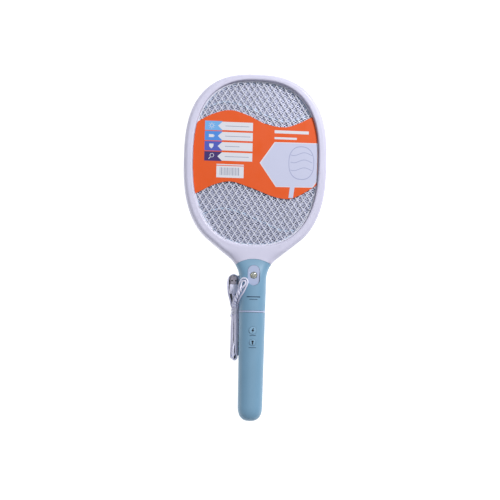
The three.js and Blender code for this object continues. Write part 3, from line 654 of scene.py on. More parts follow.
def head_height(points):
    """Height of the head shell's face above the mid plane, easing into the handle's shape at the throat."""
    across, deep = OUTER_ROUND
    height = FRAME_DEPTH / 2 - edge_drop(distance_to(points, HEAD), across, deep)
    height -= edge_drop(distance_to(points, OPENING), INNER_ROUND, INNER_ROUND)
    high, low = THROAT_BLEND
    for i, (x, y) in enumerate(points):
        if y < high:
            share = smooth((high - y) / (high - low))
            handle = max(handle_top(x, y) - MID_Z, 0.5)
            height[i] += (handle - height[i]) * share
    return height


def head_shell(front, inner_steps=6, outer_steps=12):
    """One half of the head frame: rows of points from the opening out to the edge and back inside."""
    inner = OPENING
    outer = rays_to_edge(inner)
    length = np.linalg.norm(outer - inner, axis=1)
    along = (outer - inner) / length[:, None]
    across = np.minimum(OUTER_ROUND[0] * 1.25, (length - INNER_ROUND) * 0.7)
    none = 0.0 * length
    steps = []
    for i in range(inner_steps + 1):
        steps.append(none + INNER_ROUND * (1 - math.cos(math.pi / 2 * i / inner_steps)))
    flat = length - across - INNER_ROUND
    steps += [INNER_ROUND + flat * share for share in (0.25, 0.5, 0.75)]
    for i in range(outer_steps + 1):
        steps.append(length - across * (1 - math.cos(math.pi / 2 * (1 - i / outer_steps))))
    rows = []
    for step in steps:
        points = inner + along * step[:, None]
        rows.append(np.column_stack([points, head_height(points)]))
    ridge = FRAME_DEPTH / 2 - WALL - INNER_ROUND
    hidden = [
        (length, GAP / 2), (length - WALL, GAP / 2), (length - WALL, RIM_LEDGE),
        (none + CHANNEL_INSET, ridge), (none + CHANNEL_INSET, LIP_IN), (none, LIP_IN),
    ]
    for step, height in hidden:
        points = inner + along * step[:, None]
        rows.append(np.column_stack([points, np.full(len(points), height)]))
    sign = 1 if front else -1
    verts = [(x, y, MID_Z + sign * z) for row in rows for x, y, z in row]
    faces = grid_faces(len(rows), len(inner), wrap_rows=True, wrap_columns=True)
    return piece("front_head_shell" if front else "rear_head_shell", verts, faces, WHITE)


def ring_point(degrees):
    """Point midway between the head outline and the opening, where a screw sits."""
    angle = math.radians(degrees)
    power = (HEAD_POWER + OPENING_POWER) / 2
    half_width = (HEAD_HALF_WIDTH + OPENING_HALF_WIDTH) / 2
    reach = (HEAD_LOW_REACH + OPENING_LOW_REACH) / 2
    if math.sin(angle) > 0:
        reach = (HEAD_TOP_REACH + OPENING_TOP_REACH) / 2
    x = half_width * float(signed_power(math.cos(angle), 2 / power))
    return x, HEAD_Y + reach * float(signed_power(math.sin(angle), 2 / power))


def make_head_shells():
    front = head_shell(True)
    tidy_normals(front)
    place(front, "racket", "white_plastic", "head_frame_front")
    rear = head_shell(False)
    for degrees in FRAME_SCREW_ANGLES:
        x, y = ring_point(degrees)
        cut(rear, *prism(disc_outline(x, y, 2.6, 32), -1, 3.2))
    tidy_normals(rear)
    place(rear, "racket", "white_plastic", "head_frame_rear")


make_head_shells()


# ---------- guards, meshes and carriers ----------
def line_spans(angle, pitch, margin, reach=190.0, samples=3801, fewest=12):
    """Ends of the parallel lines at an angle that cross the opening, a pitch apart."""
    along = np.array([math.cos(angle), math.sin(angle)])
    across = np.array([-along[1], along[0]])
    run = np.linspace(-reach, reach, samples)
    count = int(reach / pitch)
    spans = []
    for i in range(-count, count + 1):
        points = np.array([0.0, HEAD_Y]) + across * pitch * (i + 0.5) + run[:, None] * along
        inside = np.nonzero(inside_opening(points[:, 0], points[:, 1], margin))[0]
        if len(inside) > fewest:
            spans.append((points[inside[0]], points[inside[-1]]))
    return spans


def bar(start, end, width, low, high, crown=0.0):
    """A straight strand with a flat underside and, with a crown, a chamfered top."""
    start, end = np.array(start), np.array(end)
    along = (end - start) / np.linalg.norm(end - start)
    across = np.array([-along[1], along[0]]) * width / 2
    edge = 1 - 2 * crown / width
    section = [(-1, low), (1, low), (1, high - crown), (edge, high), (-edge, high), (-1, high - crown)]
    if crown == 0.0:
        section = [(-1, low), (1, low), (1, high), (-1, high)]
    return loft([[(*(spot + across * side), z) for side, z in section] for spot in (start, end)])


def rim(inner_margin, outer_margin, low, high, count=240):
    """A flat ring that follows the opening between two insets."""
    line = resample(OPENING, count)
    into = inward(line)
    rows = []
    for margin, z in ((outer_margin, low), (inner_margin, low), (inner_margin, high), (outer_margin, high)):
        rows.append([(x, y, z) for x, y in line + into * margin])
    verts = [point for row in rows for point in row]
    return verts, grid_faces(4, count, wrap_rows=True, wrap_columns=True)


GUARD_IN = 6.6
GUARD_DEPTH = 1.4
GUARD_RIM = 2.0
GUARD_LEAN = math.radians(57)
GUARD_PITCH = 8.2
GUARD_STRAND = 1.2
GUARD_CROWN = 0.25


def make_guard(front):
    """Strands of one lean over strands of the other, each three quarters of the guard's depth."""
    low = MID_Z + GUARD_IN if front else MID_Z - GUARD_IN - GUARD_DEPTH
    solids = [rim(GUARD_RIM, GAP, low, low + GUARD_DEPTH)]
    for lean, bottom in ((GUARD_LEAN, low), (-GUARD_LEAN, low + 0.25 * GUARD_DEPTH)):
        for start, end in line_spans(lean, GUARD_PITCH, GUARD_RIM / 2):
            solids.append(bar(start, end, GUARD_STRAND, bottom, bottom + 0.75 * GUARD_DEPTH, GUARD_CROWN))
    made = piece("front_guard_lattice" if front else "rear_guard_lattice", *merged(*solids), GUARD_WHITE)
    place(made, "racket", "guard_plastic", "front_guard" if front else "rear_guard")


MESH_OFFSET = 4.6
MESH_RIM = (-1.0, -2.5)
MESH_RIM_HALF = 0.3
MESH_REACH = -2.2
WIRE_HALF = 0.18
WIRE_SHIFT = 0.12


def make_mesh(name, node, middle, lean_degrees, pitch, wire):
    """Two layers of wires that cross at a lean either way, welded to a rim."""
    lean = math.radians(lean_degrees)
    solids = [rim(*MESH_RIM, middle - MESH_RIM_HALF, middle + MESH_RIM_HALF)]
    for angle, z in ((lean, middle - WIRE_SHIFT), (-lean, middle + WIRE_SHIFT)):
        for start, end in line_spans(angle, pitch, MESH_REACH):
            solids.append(bar(start, end, wire, z - WIRE_HALF, z + WIRE_HALF))
    place(piece(name, *merged(*solids), MESH), "racket", "mesh_metal", node)


TOP_RIB = [
    (-96, 193), (-80, 205), (-52, 216.5), (-37, 216), (-8, 208.5),
    (11, 200), (36, 191), (57, 192.5), (84, 205), (96, 214),
]
LOW_RIB = [
    (-96, 30), (-77, 46), (-52, 55), (-42, 55), (-18, 49),
    (17, 34.5), (46, 24), (64, 27), (82, 42), (94, 56),
]
RIB_WIDTH = 2.4
RIB_BEVEL = 0.4


def smooth_path(points, steps=10):
    """Centripetal Catmull-Rom curve through points."""
    points = [np.array(p, float) for p in points]
    points = [2 * points[0] - points[1]] + points + [2 * points[-1] - points[-2]]
    out = []
    for p0, p1, p2, p3 in zip(points, points[1:], points[2:], points[3:]):
        t0 = 0.0
        t1 = t0 + math.sqrt(np.linalg.norm(p1 - p0))
        t2 = t1 + math.sqrt(np.linalg.norm(p2 - p1))
        t3 = t2 + math.sqrt(np.linalg.norm(p3 - p2))
        for i in range(steps):
            t = t1 + (t2 - t1) * i / steps
            a1 = (t1 - t) / (t1 - t0) * p0 + (t - t0) / (t1 - t0) * p1
            a2 = (t2 - t) / (t2 - t1) * p1 + (t - t1) / (t2 - t1) * p2
            a3 = (t3 - t) / (t3 - t2) * p2 + (t - t2) / (t3 - t2) * p3
            b1 = (t2 - t) / (t2 - t0) * a1 + (t - t0) / (t2 - t0) * a2
            b2 = (t3 - t) / (t3 - t1) * a2 + (t - t1) / (t3 - t1) * a3
            out.append((t2 - t) / (t2 - t1) * b1 + (t - t1) / (t2 - t1) * b2)
    return np.array(out + [points[-2]])


def rib(points, low, high):
    line = smooth_path(points)
    line = line[inside_opening(line[:, 0], line[:, 1], -2.0)]
    along = np.gradient(line, axis=0)
    along /= np.linalg.norm(along, axis=1)[:, None]
    side = np.stack([-along[:, 1], along[:, 0]], axis=1) * RIB_WIDTH / 2
    rings = []
    for centre, out in zip(line, side):
        inset = out * (1 - 2 * RIB_BEVEL / RIB_WIDTH)
        rings.append([
            (*(centre - out), low), (*(centre + out), low), (*(centre + out), high - RIB_BEVEL),
            (*(centre + inset), high), (*(centre - inset), high), (*(centre - out), high - RIB_BEVEL),
        ])
    return loft(rings)


CARRIER_IN = 0.6
CARRIER_DEPTH = 3.4
CARRIER_RIM = (3.5, -3.0)


def make_carrier(front):
    """Ring with two waved ribs that holds the meshes apart."""
    low = MID_Z + CARRIER_IN if front else MID_Z - CARRIER_IN - CARRIER_DEPTH
    high = low + CARRIER_DEPTH
    solids = [rim(*CARRIER_RIM, low, high), rib(TOP_RIB, low, high), rib(LOW_RIB, low, high)]
    made = piece("front_mesh_carrier" if front else "rear_mesh_carrier", *merged(*solids), CARRIER_BLUE)
    place(made, "racket", "carrier_plastic", "mesh_carrier_front" if front else "mesh_carrier_rear")


for is_front in (True, False):
    make_guard(is_front)
    make_carrier(is_front)
make_mesh("front_live_mesh", "front_mesh", MID_Z + MESH_OFFSET, 32, 3.0, 0.65)
make_mesh("centre_live_mesh", "centre_mesh", MID_Z, 40, 5.2, 0.5)
make_mesh("rear_live_mesh", "rear_mesh", MID_Z - MESH_OFFSET, 32, 3.0, 0.4)


# ---------- display card ----------
CARD_LOW_Z = MID_Z + GUARD_IN + GUARD_DEPTH + GAP
CARD_HIGH_Z = CARD_LOW_Z + 0.4
CARD_TOP = [
    (-100, 178), (-91, 183), (-66, 197), (-40, 203.5), (-14, 197),
    (14, 184.5), (46, 181), (87, 199), (100, 205),
]
CARD_LOW = [
    (-100, 70), (-85, 78), (-62, 90), (-38, 95.5), (-8, 87.5),
    (35, 73), (56, 73), (94, 95), (100, 100),
]
CARD_HALF_WIDTH = 94.2
CARD_MARGIN = 0.6
INK_STEP = 0.04
INK_GAP = 0.005


def card_edges(count=120):
    """Matching points along the card's lower and upper edge, trimmed to the opening."""
    xs = np.linspace(-CARD_HALF_WIDTH, CARD_HALF_WIDTH, count)
    low_line, top_line = smooth_path(CARD_LOW), smooth_path(CARD_TOP)
    low = np.interp(xs, low_line[:, 0], low_line[:, 1])
    top = np.interp(xs, top_line[:, 0], top_line[:, 1])
    columns = []
    for x, a, b in zip(xs, low, top):
        ys = np.linspace(a, b, 600)
        inside = ys[inside_opening(np.full_like(ys, x), ys, CARD_MARGIN)]
        if len(inside) > 10:
            columns.append((x, inside[0], inside[-1]))
    return columns


def make_card(rows=40):
    columns = card_edges()
    shares = [i / (rows - 1) for i in range(rows)]
    layers = []
    for z in (CARD_LOW_Z, CARD_HIGH_Z):
        layers.append([(x, low + (top - low) * share, z) for x, low, top in columns for share in shares])
    made = piece("display_card", *slab(*layers, len(columns), rows), ORANGE)
    place(made, "racket", "card_print", "label_card")


make_card()


def print_shape(outline, level):
    """A thin solid of ink on the card; higher levels lie on lower ones."""
    low = CARD_HIGH_Z + INK_STEP * (level - 1) + INK_GAP
    return prism(outline, low, low + INK_STEP)


def shifted(outline, x, y):
    return [(px + x, py + y) for px, py in outline]


def stroke_ring(inner, outer, sides, level):
    """A printed loop between two curves, each a function of an angle."""
    turn = [2 * math.pi * i / sides for i in range(sides + 1)]
    return [print_shape([inner(a), outer(a), outer(b), inner(b)], level) for a, b in zip(turn, turn[1:])]


def ink_piece(name, material, solids):
    place(piece(name, *merged(*solids), material, 60), "racket", "card_print")


ROW_LEFT = -77.7
ROW_RIGHT = -5.5
ROW_TOP = 186.2
ROW_HEIGHT = 14.2
ROW_PITCH = 15.45
ICON_WIDTH = 26.2
ARROW_TIP = -58.0
ARROW_SHOULDER = -51.5
ARROW_MIDDLE = -30.0


def arrow_bar(bottom):
    low, top = bottom + 0.8, bottom + ROW_HEIGHT - 0.8
    return [
        (ARROW_TIP, (low + top) / 2), (ARROW_SHOULDER, low), (ARROW_MIDDLE, low), (ROW_RIGHT, low),
        (ROW_RIGHT, top), (ARROW_MIDDLE, top), (ARROW_SHOULDER, top),
    ]


ICON_X = -67.5
SHIELD = [(-3.2, 3.4), (-3.2, -0.6), (0.0, -4.2), (3.2, -0.6), (3.2, 3.4)]
RACKET_HANDLE = [(-4.2, -4.0), (-3.2, -4.6), (-0.2, -0.9), (-1.0, -0.3)]
ROW_LINE_LEFT = -47.0
ROW_LINE_WIDTHS = (36.0, 38.0, 22.0, 36.0)


def icon_ring(x, y, radius, width):
    def circle(size):
        return lambda angle: (x + size * math.cos(angle), y + size * math.sin(angle))
    return stroke_ring(circle(radius), circle(radius + width), 28, 2)


def row_icons(bottoms):
    """Four plain pictograms: a rayed lamp, a cell, a shield and a small racket."""
    lamp, cell, shield, racket = [bottom + ROW_HEIGHT / 2 for bottom in bottoms]
    solids = icon_ring(ICON_X, lamp, 2.2, 0.7)
    for i in range(8):
        angle = math.pi * i / 4
        ray = disc_outline(ICON_X + 4.3 * math.cos(angle), lamp + 4.3 * math.sin(angle), 0.5, 8)
        solids.append(print_shape(ray, 2))
    solids.append(print_shape(rectangle(ICON_X - 4.0, cell - 2.2, 7.0, 4.4), 2))
    solids.append(print_shape(rectangle(ICON_X + 3.2, cell - 1.1, 1.0, 2.2), 2))
    solids.append(print_shape(shifted(SHIELD, ICON_X, shield), 2))
    solids += icon_ring(ICON_X + 1.2, racket + 1.4, 2.4, 0.7)
    solids.append(print_shape(shifted(RACKET_HANDLE, ICON_X, racket), 2))
    return solids


def make_feature_rows():
    """Four coloured icon fields with pale arrow-ended bars, each with a plain line for its wording."""
    bottoms = [ROW_TOP - ROW_HEIGHT - ROW_PITCH * i for i in range(4)]
    for i, (bottom, ink) in enumerate(zip(bottoms, ROW_INKS)):
        field = rectangle(ROW_LEFT, bottom, ICON_WIDTH, ROW_HEIGHT)
        ink_piece(f"card_row_{i + 1}", ink, [print_shape(field, 1)])
    solids = [print_shape(arrow_bar(bottom), 2) for bottom in bottoms] + row_icons(bottoms)
    ink_piece("card_white_print", INK_WHITE, solids)
    lines = []
    for bottom, width in zip(bottoms, ROW_LINE_WIDTHS):
        lines.append(print_shape(rectangle(ROW_LINE_LEFT, bottom + ROW_HEIGHT / 2 - 0.5, width, 1.0), 3))
    ink_piece("card_row_lines", INK_GREY, lines)


CODE_LEFT = -59.0
CODE_BOTTOM = 101.0
CODE_WIDTH = 41.0
CODE_HEIGHT = 17.6


def make_bar_block():
    """White block with plain upright stripes of repeating widths."""
    back = [print_shape(rectangle(CODE_LEFT, CODE_BOTTOM, CODE_WIDTH, CODE_HEIGHT), 1)]
    back.append(print_shape(rectangle(CODE_LEFT, CODE_BOTTOM + CODE_HEIGHT + 1.2, CODE_WIDTH, 1.6), 1))
    ink_piece("card_stripe_block", INK_WHITE, back)
    widths = (0.8, 1.6, 0.6, 1.1)
    stripes = []
    x = CODE_LEFT + 5.0
    i = 0
    while x < CODE_LEFT + CODE_WIDTH - 6.0:
        width = widths[i % len(widths)]
        stripes.append(print_shape(rectangle(x, CODE_BOTTOM + 3.6, width, CODE_HEIGHT - 6.0), 2))
        x += width + 1.1
        i += 1
    ink_piece("card_stripes", INK_GREY, stripes)


HEXAGON = [
    (5.8, 125.2), (30.9, 89.5), (60.0, 89.8), (87.0, 90.2), (93.6, 100.3),
    (93.6, 130.0), (93.6, 158.0), (60.0, 157.8), (27.8, 157.5),
]
PICTURE_CENTRE = (69.0, 127.0)
PICTURE_HALF = (19.5, 25.5)


def scaled_outline(points, factor):
    centre = np.mean(points, axis=0)
    return [tuple(centre + (np.array(p) - centre) * factor) for p in points]


def picture_point(t, scale=1.0):
    x, y = PICTURE_CENTRE
    return (
        x + scale * PICTURE_HALF[0] * float(signed_power(math.cos(t), 0.85)),
        y + scale * PICTURE_HALF[1] * float(signed_power(math.sin(t), 0.85)),
    )


WAVE_HALF = 16.5
WAVE_RISE = 2.4
WAVE_SCALE = 5.2


def picture_outline(level):
    return stroke_ring(lambda angle: picture_point(angle, 0.95), picture_point, 48, level)


def picture_wave(y, level, steps=16):
    """A thin wavy line across the drawn racket."""
    xs = [PICTURE_CENTRE[0] + WAVE_HALF * (2 * i / steps - 1) for i in range(steps + 1)]
    line = [(x, y + WAVE_RISE * math.sin(x / WAVE_SCALE)) for x in xs]
    solids = []
    for a, b in zip(line, line[1:]):
        solids.append(print_shape([a, b, (b[0], b[1] + 1.0), (a[0], a[1] + 1.0)], level))
    return solids


def make_picture_panel():
    """Pale panel with a faint generic racket drawn on it."""
    ink_piece("card_panel_border", INK_WHITE, [print_shape(HEXAGON, 1)])
    ink_piece("card_panel", INK_LILAC, [print_shape(scaled_outline(HEXAGON, 0.965), 2)])
    faint = picture_outline(3)
    for y in (117.0, 129.0, 140.0):
        faint += picture_wave(y, 3)
    ink_piece("card_panel_drawing", INK_FAINT, faint)
    handle = [(50.4, 73.6), (57.2, 73.4), (60.2, 96.0), (63.5, 101.5), (57.0, 102.5), (53.2, 97.0)]
    ink_piece("card_drawn_handle", INK_LILAC, [print_shape(handle, 3)])


def make_title_bars():
    """Plain bars where a title would be."""
    bars = [
        print_shape(rectangle(27.5, 171.0, 52.0, 4.6), 1),
        print_shape(rectangle(27.5, 162.0, 34.0, 3.2), 1),
    ]
    ink_piece("card_title_bars", INK_WHITE, bars)


make_feature_rows()
make_bar_block()
make_picture_panel()
make_title_bars()


# ---------- neck, collar and grip ----------
def stations(start, end, step=3.0):
    count = max(2, int(abs(end - start) / step))
    return [start + (end - start) * i / count for i in range(count + 1)]


def butt_stations():
    """Stations that close up towards the round butt."""
    reach = (BUTT_START_Y - BUTT_Y) * BUTT_FLAT
    return [BUTT_START_Y - reach * math.sin(math.pi / 2 * i / 22) for i in range(1, 23)]


def half_space(front):
    if front:
        return box_solid((-80, -300, PARTING_Z + GAP / 2), (80, 50, 60))
    return box_solid((-80, -300, -20), (80, 50, PARTING_Z - GAP / 2))


def handle_shell(name, front, ys, inner_ys):
    """Half of the handle's skin between stations, hollow inside."""
    made = piece(name, *loft([handle_ring(y) for y in ys]), BLUE)
    cut(made, *loft([handle_ring(y, WALL) for y in inner_ys]))
    cut(made, *half_space(front), operation="INTERSECT")
    return made


def handle_screw_hole(made, y):
    cut(made, *prism(disc_outline(0, y, 2.8, 32), -1, 5.0))


NECK_SCREW_Y = -84.0
GRIP_SCREW_YS = (-111.0, -232.0)


def make_neck(front):
    low_end = COLLAR_Y + COLLAR_HALF + GAP
    ys = stations(NECK_START_Y, low_end)
    inner = [NECK_START_Y + 1] + ys[1:-1] + [low_end - 1]
    made = handle_shell("front_neck_shell" if front else "rear_neck_shell", front, ys, inner)
    throat = prism(disc_outline(0, THROAT_CENTRE_Y, THROAT_RADIUS - GAP, 256), -5, 60)
    cut(made, *throat, operation="INTERSECT")
    if front:
        cut(made, *prism(stadium(LAMP_WIDTH, LAMP_LENGTH, LAMP_Y), 28, 45))
    else:
        handle_screw_hole(made, NECK_SCREW_Y)
    tidy_normals(made)
    place(made, "racket", "blue_plastic", "neck_front" if front else "neck_rear")


def make_grip(front):
    start = COLLAR_Y - COLLAR_HALF - GAP
    ys = stations(start, BUTT_START_Y, 4.0) + butt_stations()
    inner = [start + 1] + [y for y in ys[1:] if y > BUTT_Y + 3.0]
    made = handle_shell("front_grip_shell" if front else "rear_grip_shell", front, ys, inner)
    if front:
        for y, radius in ((ZAP_Y, ZAP_RADIUS), (LIGHT_Y, LIGHT_RADIUS)):
            cut(made, *prism(disc_outline(0, y, radius + BUTTON_CLEARANCE, 72), 28, 45))
    else:
        for y in GRIP_SCREW_YS:
            handle_screw_hole(made, y)
    port = [(x, BUTT_Y - 5, SOCKET_Z + z) for x, z in disc_outline(0, 0, 3.2, 40)]
    port_end = [(x, BUTT_Y + 5, z) for x, _, z in port]
    cut(made, *loft([port, port_end]))
    tidy_normals(made)
    place(made, "racket", "blue_plastic", "grip_front" if front else "grip_rear")


def make_collar():
    """Pale band, rounded and slightly proud, between the neck and the grip."""
    outer = []
    for i in range(9):
        angle = math.pi * i / 8
        y = COLLAR_Y + COLLAR_HALF * math.cos(angle)
        outer.append(handle_ring(y, -0.4 * math.sin(angle)))
    inner = [handle_ring(COLLAR_Y - COLLAR_HALF, WALL), handle_ring(COLLAR_Y + COLLAR_HALF, WALL)]
    rows = outer + inner
    verts = [point for ring in rows for point in ring]
    faces = grid_faces(len(rows), len(rows[0]), wrap_rows=True, wrap_columns=True)
    made = piece("collar_band", verts, faces, COLLAR)
    place(made, "racket", "white_plastic", "collar_ring")


for is_front in (True, False):
    make_neck(is_front)
    make_grip(is_front)
make_collar()


def surface_patch(centre_y, width, height, columns=16, rows=3, lift=0.05, depth=0.06):
    """A thin printed bar that follows the handle's front surface."""
    layers = []
    for rise in (lift, lift + depth):
        points = []
        for j in range(rows + 1):
            y = centre_y - height / 2 + height * j / rows
            for i in range(columns + 1):
                x = -width / 2 + width * i / columns
                points.append((x, y, handle_top(x, y) + rise))
        layers.append(points)
    return slab(*layers, rows + 1, columns + 1)


def make_handle_print():
    """Plain bars below the lamp and below each button."""
    bars = [surface_patch(-76.6, 20.0, 1.3), surface_patch(-80.3, 12.0, 0.8)]
    bars += [surface_patch(-133.6, 9.0, 0.8, columns=8), surface_patch(-151.4, 11.0, 0.8, columns=8)]
    place(piece("handle_print_bars", *merged(*bars), PRINT_BLUE, 60), "racket", "blue_plastic")


make_handle_print()


# ---------- lamp ----------
LENS_RADIUS = 5.0
LED_RADIUS = 1.5
LED_OFFSET = 2.2
LED_LOW_Z = 27.7


def dome(radius, low, shoulder, rise, steps):
    """Lathe profile of a disc with a rounded top."""
    profile = [(0.0, low), (radius, low), (radius, shoulder)]
    for i in range(1, steps):
        angle = math.pi / 2 * i / steps
        profile.append((radius * math.cos(angle), shoulder + rise * math.sin(angle)))
    return profile + [(0.0, shoulder + rise)]


def make_lamp():
    """Sunk plate with a domed lens in its middle and two LEDs under the lens."""
    outline = stadium(LAMP_WIDTH - 2 * GAP, LAMP_LENGTH - 2 * GAP, LAMP_Y)
    made = piece("lamp_bezel", *prism(outline, LAMP_FLOOR_Z - 1.6, LAMP_FLOOR_Z), COLLAR)
    cut(made, *prism(disc_outline(0, LAMP_Y, LENS_RADIUS + GAP, 48), LAMP_FLOOR_Z - 3, LAMP_FLOOR_Z + 2))
    tidy_normals(made)
    place(made, "racket", "white_plastic", "lamp_plate")
    lens = dome(LENS_RADIUS, LAMP_FLOOR_Z - 1.3, LAMP_FLOOR_Z + 0.4, 2.2, 9)
    made = piece("lamp_clear_lens", *lathe(lens, 0, LAMP_Y, 56), LENS)
    place(made, "racket", "clear_lens", "lamp_lens")
    led = dome(LED_RADIUS, LED_LOW_Z, LED_LOW_Z + 1.0, 1.0, 7)
    for i, x in enumerate((-LED_OFFSET, LED_OFFSET)):
        made = piece(f"lamp_led_dome_{i + 1}", *lathe(led, x, LAMP_Y, 28), LED)
        place(made, "racket", "led_epoxy", f"lamp_led_{i + 1}")


make_lamp()


# ---------- buttons ----------
BUTTON_PROUD = 0.9


def button_profile(radius, top):
    """Lathe profile of a key: stem, flange under the shell, and a cap with a rounded rim and a low crown."""
    flange = radius + 1.2
    profile = [(0.0, 29.8), (2.0, 29.8), (2.0, 31.0), (flange, 31.0), (flange, 31.8)]
    profile += [(radius, 31.8), (radius, top)]
    for i in range(1, 7):
        angle = math.pi / 2 * i / 6
        profile.append((radius - 0.8 * (1 - math.cos(angle)), top + 0.75 * BUTTON_PROUD * math.sin(angle)))
    for share, rise in ((0.7, 0.82), (0.45, 0.92), (0.2, 0.99), (0.0, 1.0)):
        profile.append((radius * share, top + BUTTON_PROUD * rise))
    return profile


BOLT = [(0.5, 3.5), (-2.3, -0.7), (-0.4, -0.7), (-1.1, -3.5), (2.3, 0.9), (0.5, 0.9), (1.8, 3.5)]
LAMP_SIGN = [
    (-1.7, 2.9), (-1.7, 1.1), (-1.0, 0.3), (-1.0, -2.9), (1.0, -2.9), (1.0, 0.3), (1.7, 1.1), (1.7, 2.9),
]


def make_button(name, node, body, y, radius, sign):
    top = handle_top(0, y)
    made = piece(name, *lathe(button_profile(radius, top), 0, y, 64), BUTTON_BLUE)
    place(made, body, "button_plastic", node)
    mark = prism(shifted(sign, 0, y), top + BUTTON_PROUD * 0.86, top + BUTTON_PROUD + 0.06)
    place(piece(f"{name}_sign", *mark, GLYPH, 60), body, "button_plastic")


make_button("zap_key_cap", "zap_button", "zap_key", ZAP_Y, ZAP_RADIUS, BOLT)
make_button("light_key_cap", "light_button", "light_key", LIGHT_Y, LIGHT_RADIUS, LAMP_SIGN)


# ---------- screws and socket ----------
SCREW_HEAD = 1.6
SHANK_RADIUS = 1.2
SLOT_WIDTH = 0.6


def make_screw(name, node, x, y, head_low, radius):
    """Pan-head screw with a cross recess, driven in from the rear."""
    seat = head_low + SCREW_HEAD
    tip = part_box(node)[1].z / MM
    profile = [
        (0.0, head_low), (radius * 0.55, head_low), (radius * 0.85, head_low + 0.25),
        (radius, head_low + 0.8), (radius, seat), (SHANK_RADIUS, seat), (SHANK_RADIUS, tip - 1.2),
        (0.3, tip), (0.0, tip),
    ]
    made = piece(name, *lathe(profile, x, y, 32), STEEL)
    for width, length in ((SLOT_WIDTH, radius * 1.3), (radius * 1.3, SLOT_WIDTH)):
        low = (x - width / 2, y - length / 2, head_low - 1)
        cut(made, *box_solid(low, (x + width / 2, y + length / 2, head_low + 0.9)))
    tidy_normals(made)
    place(made, "racket", "steel", node)


def make_screws():
    for i, degrees in enumerate(FRAME_SCREW_ANGLES):
        x, y = ring_point(degrees)
        make_screw(f"frame_cross_screw_{i + 1}", f"frame_screw_{i + 1}", x, y, 1.1, 2.2)
    for i, y in enumerate((NECK_SCREW_Y, *GRIP_SCREW_YS)):
        make_screw(f"handle_cross_screw_{i + 1}", f"handle_screw_{i + 1}", 0, y, 3.0, 2.4)


make_screws()


def make_socket():
    """Barrel socket with its bore and centre pin, seen in the butt."""
    mouth = BUTT_Y + 0.5
    profile = [
        (0.01, mouth + 12), (2.9, mouth + 12), (2.9, mouth + 0.3), (2.6, mouth), (1.9, mouth),
        (1.75, mouth + 0.3), (1.75, mouth + 9), (0.5, mouth + 9), (0.5, mouth + 1.6), (0.01, mouth + 1.4),
    ]
    made = piece("charging_barrel_socket", *turned_along_y(profile, 0, SOCKET_Z, 36), DARK)
    place(made, "racket", "dark_plastic", "charging_socket")


make_socket()


# ---------- charging lead ----------
CORD_DIAMETER = 2.6
HANK_TILT = math.radians(50)
HANK_X = -25.2
HANK_Z = 8.4
HANK_SHOULDER_Y = -120.0
HANK_WAIST_Y = -104.0
LAYER = 1.35
LIFT_START_Y = -144.0
LIFT_RUN = 10.0
LIFT_FALL_STEPS = 5
OUTER_COLUMN = (3.95, 5.0)
INNER_COLUMN = (1.35, 2.3)
RUN_YS = (-94.0, -99.0, -104.0, -112.0, -120.0, -132.0, -144.0, -152.0)
PLUG_END = [(-27.4, -78.3, 4.2), (-27.5, -82, 4.2), (-28, -86, 4.2), (-28.2, -89.4, 4.2)]
LEFT_LOOP = [
    (-30.6, -89.4, 6.2), (-32, -82, 4.4), (-34, -75, 2.6), (-35.6, -67, 1.7), (-36.2, -60, 1.6),
    (-36, -53, 1.6), (-33.4, -46.4, 1.6), (-27.6, -43.4, 1.6), (-21.8, -46.2, 1.6), (-19.2, -52, 1.8),
    (-18.7, -61, 2), (-18.8, -72, 2), (-19.6, -82, 1.8), (-20.2, -92, 1.8), (-19.6, -102, 2.4),
    (-17.6, -111.7, 3.7),
]
RIGHT_LOOP = [
    (-21.8, -89, 11.4), (-20.8, -84, 18.2), (-18.8, -77, 27.7), (-14.9, -70, 33.3), (-11.4, -62, 35.9),
    (-9.2, -55.5, 36.6), (-11.6, -50, 35.5), (-16.6, -49.8, 32.6), (-20.2, -55.4, 28.4), (-21.8, -65, 25.4),
    (-23.4, -76, 20.9), (-24.4, -83, 16.4), (-24.8, -89, 12.4),
]
TWIST_LINE = [
    (-27.2, -89, 14.6), (-26.6, -84, 20.2), (-24.4, -77, 26.4), (-20.8, -70, 31.3), (-17.6, -62.5, 34.1),
]
TWIST_NORMAL = (-0.6, 0.0, 0.8)
TWIST_RADIUS = 1.6
TWIST_TURNS = 3
TWIST_EYE = [(-17.8, -57, 32.9), (-16.4, -53.6, 33.9), (-13.2, -53.4, 35.7), (-12.2, -57, 36.6)]


def twisted_loop():
    """A loop on the neck's shoulder: two strands twisted round each other, with an eye at the top."""
    middle = smooth_path(TWIST_LINE, 5)
    along = np.gradient(middle, axis=0)
    along /= np.linalg.norm(along, axis=1)[:, None]
    side = np.cross(along, TWIST_NORMAL)
    side /= np.linalg.norm(side, axis=1)[:, None]
    out = np.cross(side, along)
    angle = np.linspace(0, 2 * math.pi * TWIST_TURNS, len(middle))[:, None]
    offset = TWIST_RADIUS * (np.cos(angle) * side + np.sin(angle) * out)
    rising = [tuple(p) for p in middle - offset]
    falling = [tuple(p) for p in (middle + offset)[::-1]]
    return rising + TWIST_EYE + falling


def in_hank(across, y, above):
    """A point of the hank's own leaning plane, in the part's frame."""
    x = HANK_X + across * math.cos(HANK_TILT) - above * math.sin(HANK_TILT)
    return (x, y, HANK_Z + across * math.sin(HANK_TILT) + above * math.cos(HANK_TILT))


def column_place(side, column, y):
    """Distance of a strand from the hank's middle: drawn in at the waist, spread below it."""
    waist, spread = column
    share = smooth((HANK_WAIST_Y - y) / (HANK_WAIST_Y - HANK_SHOULDER_Y))
    return side * (waist + (spread - waist) * share)


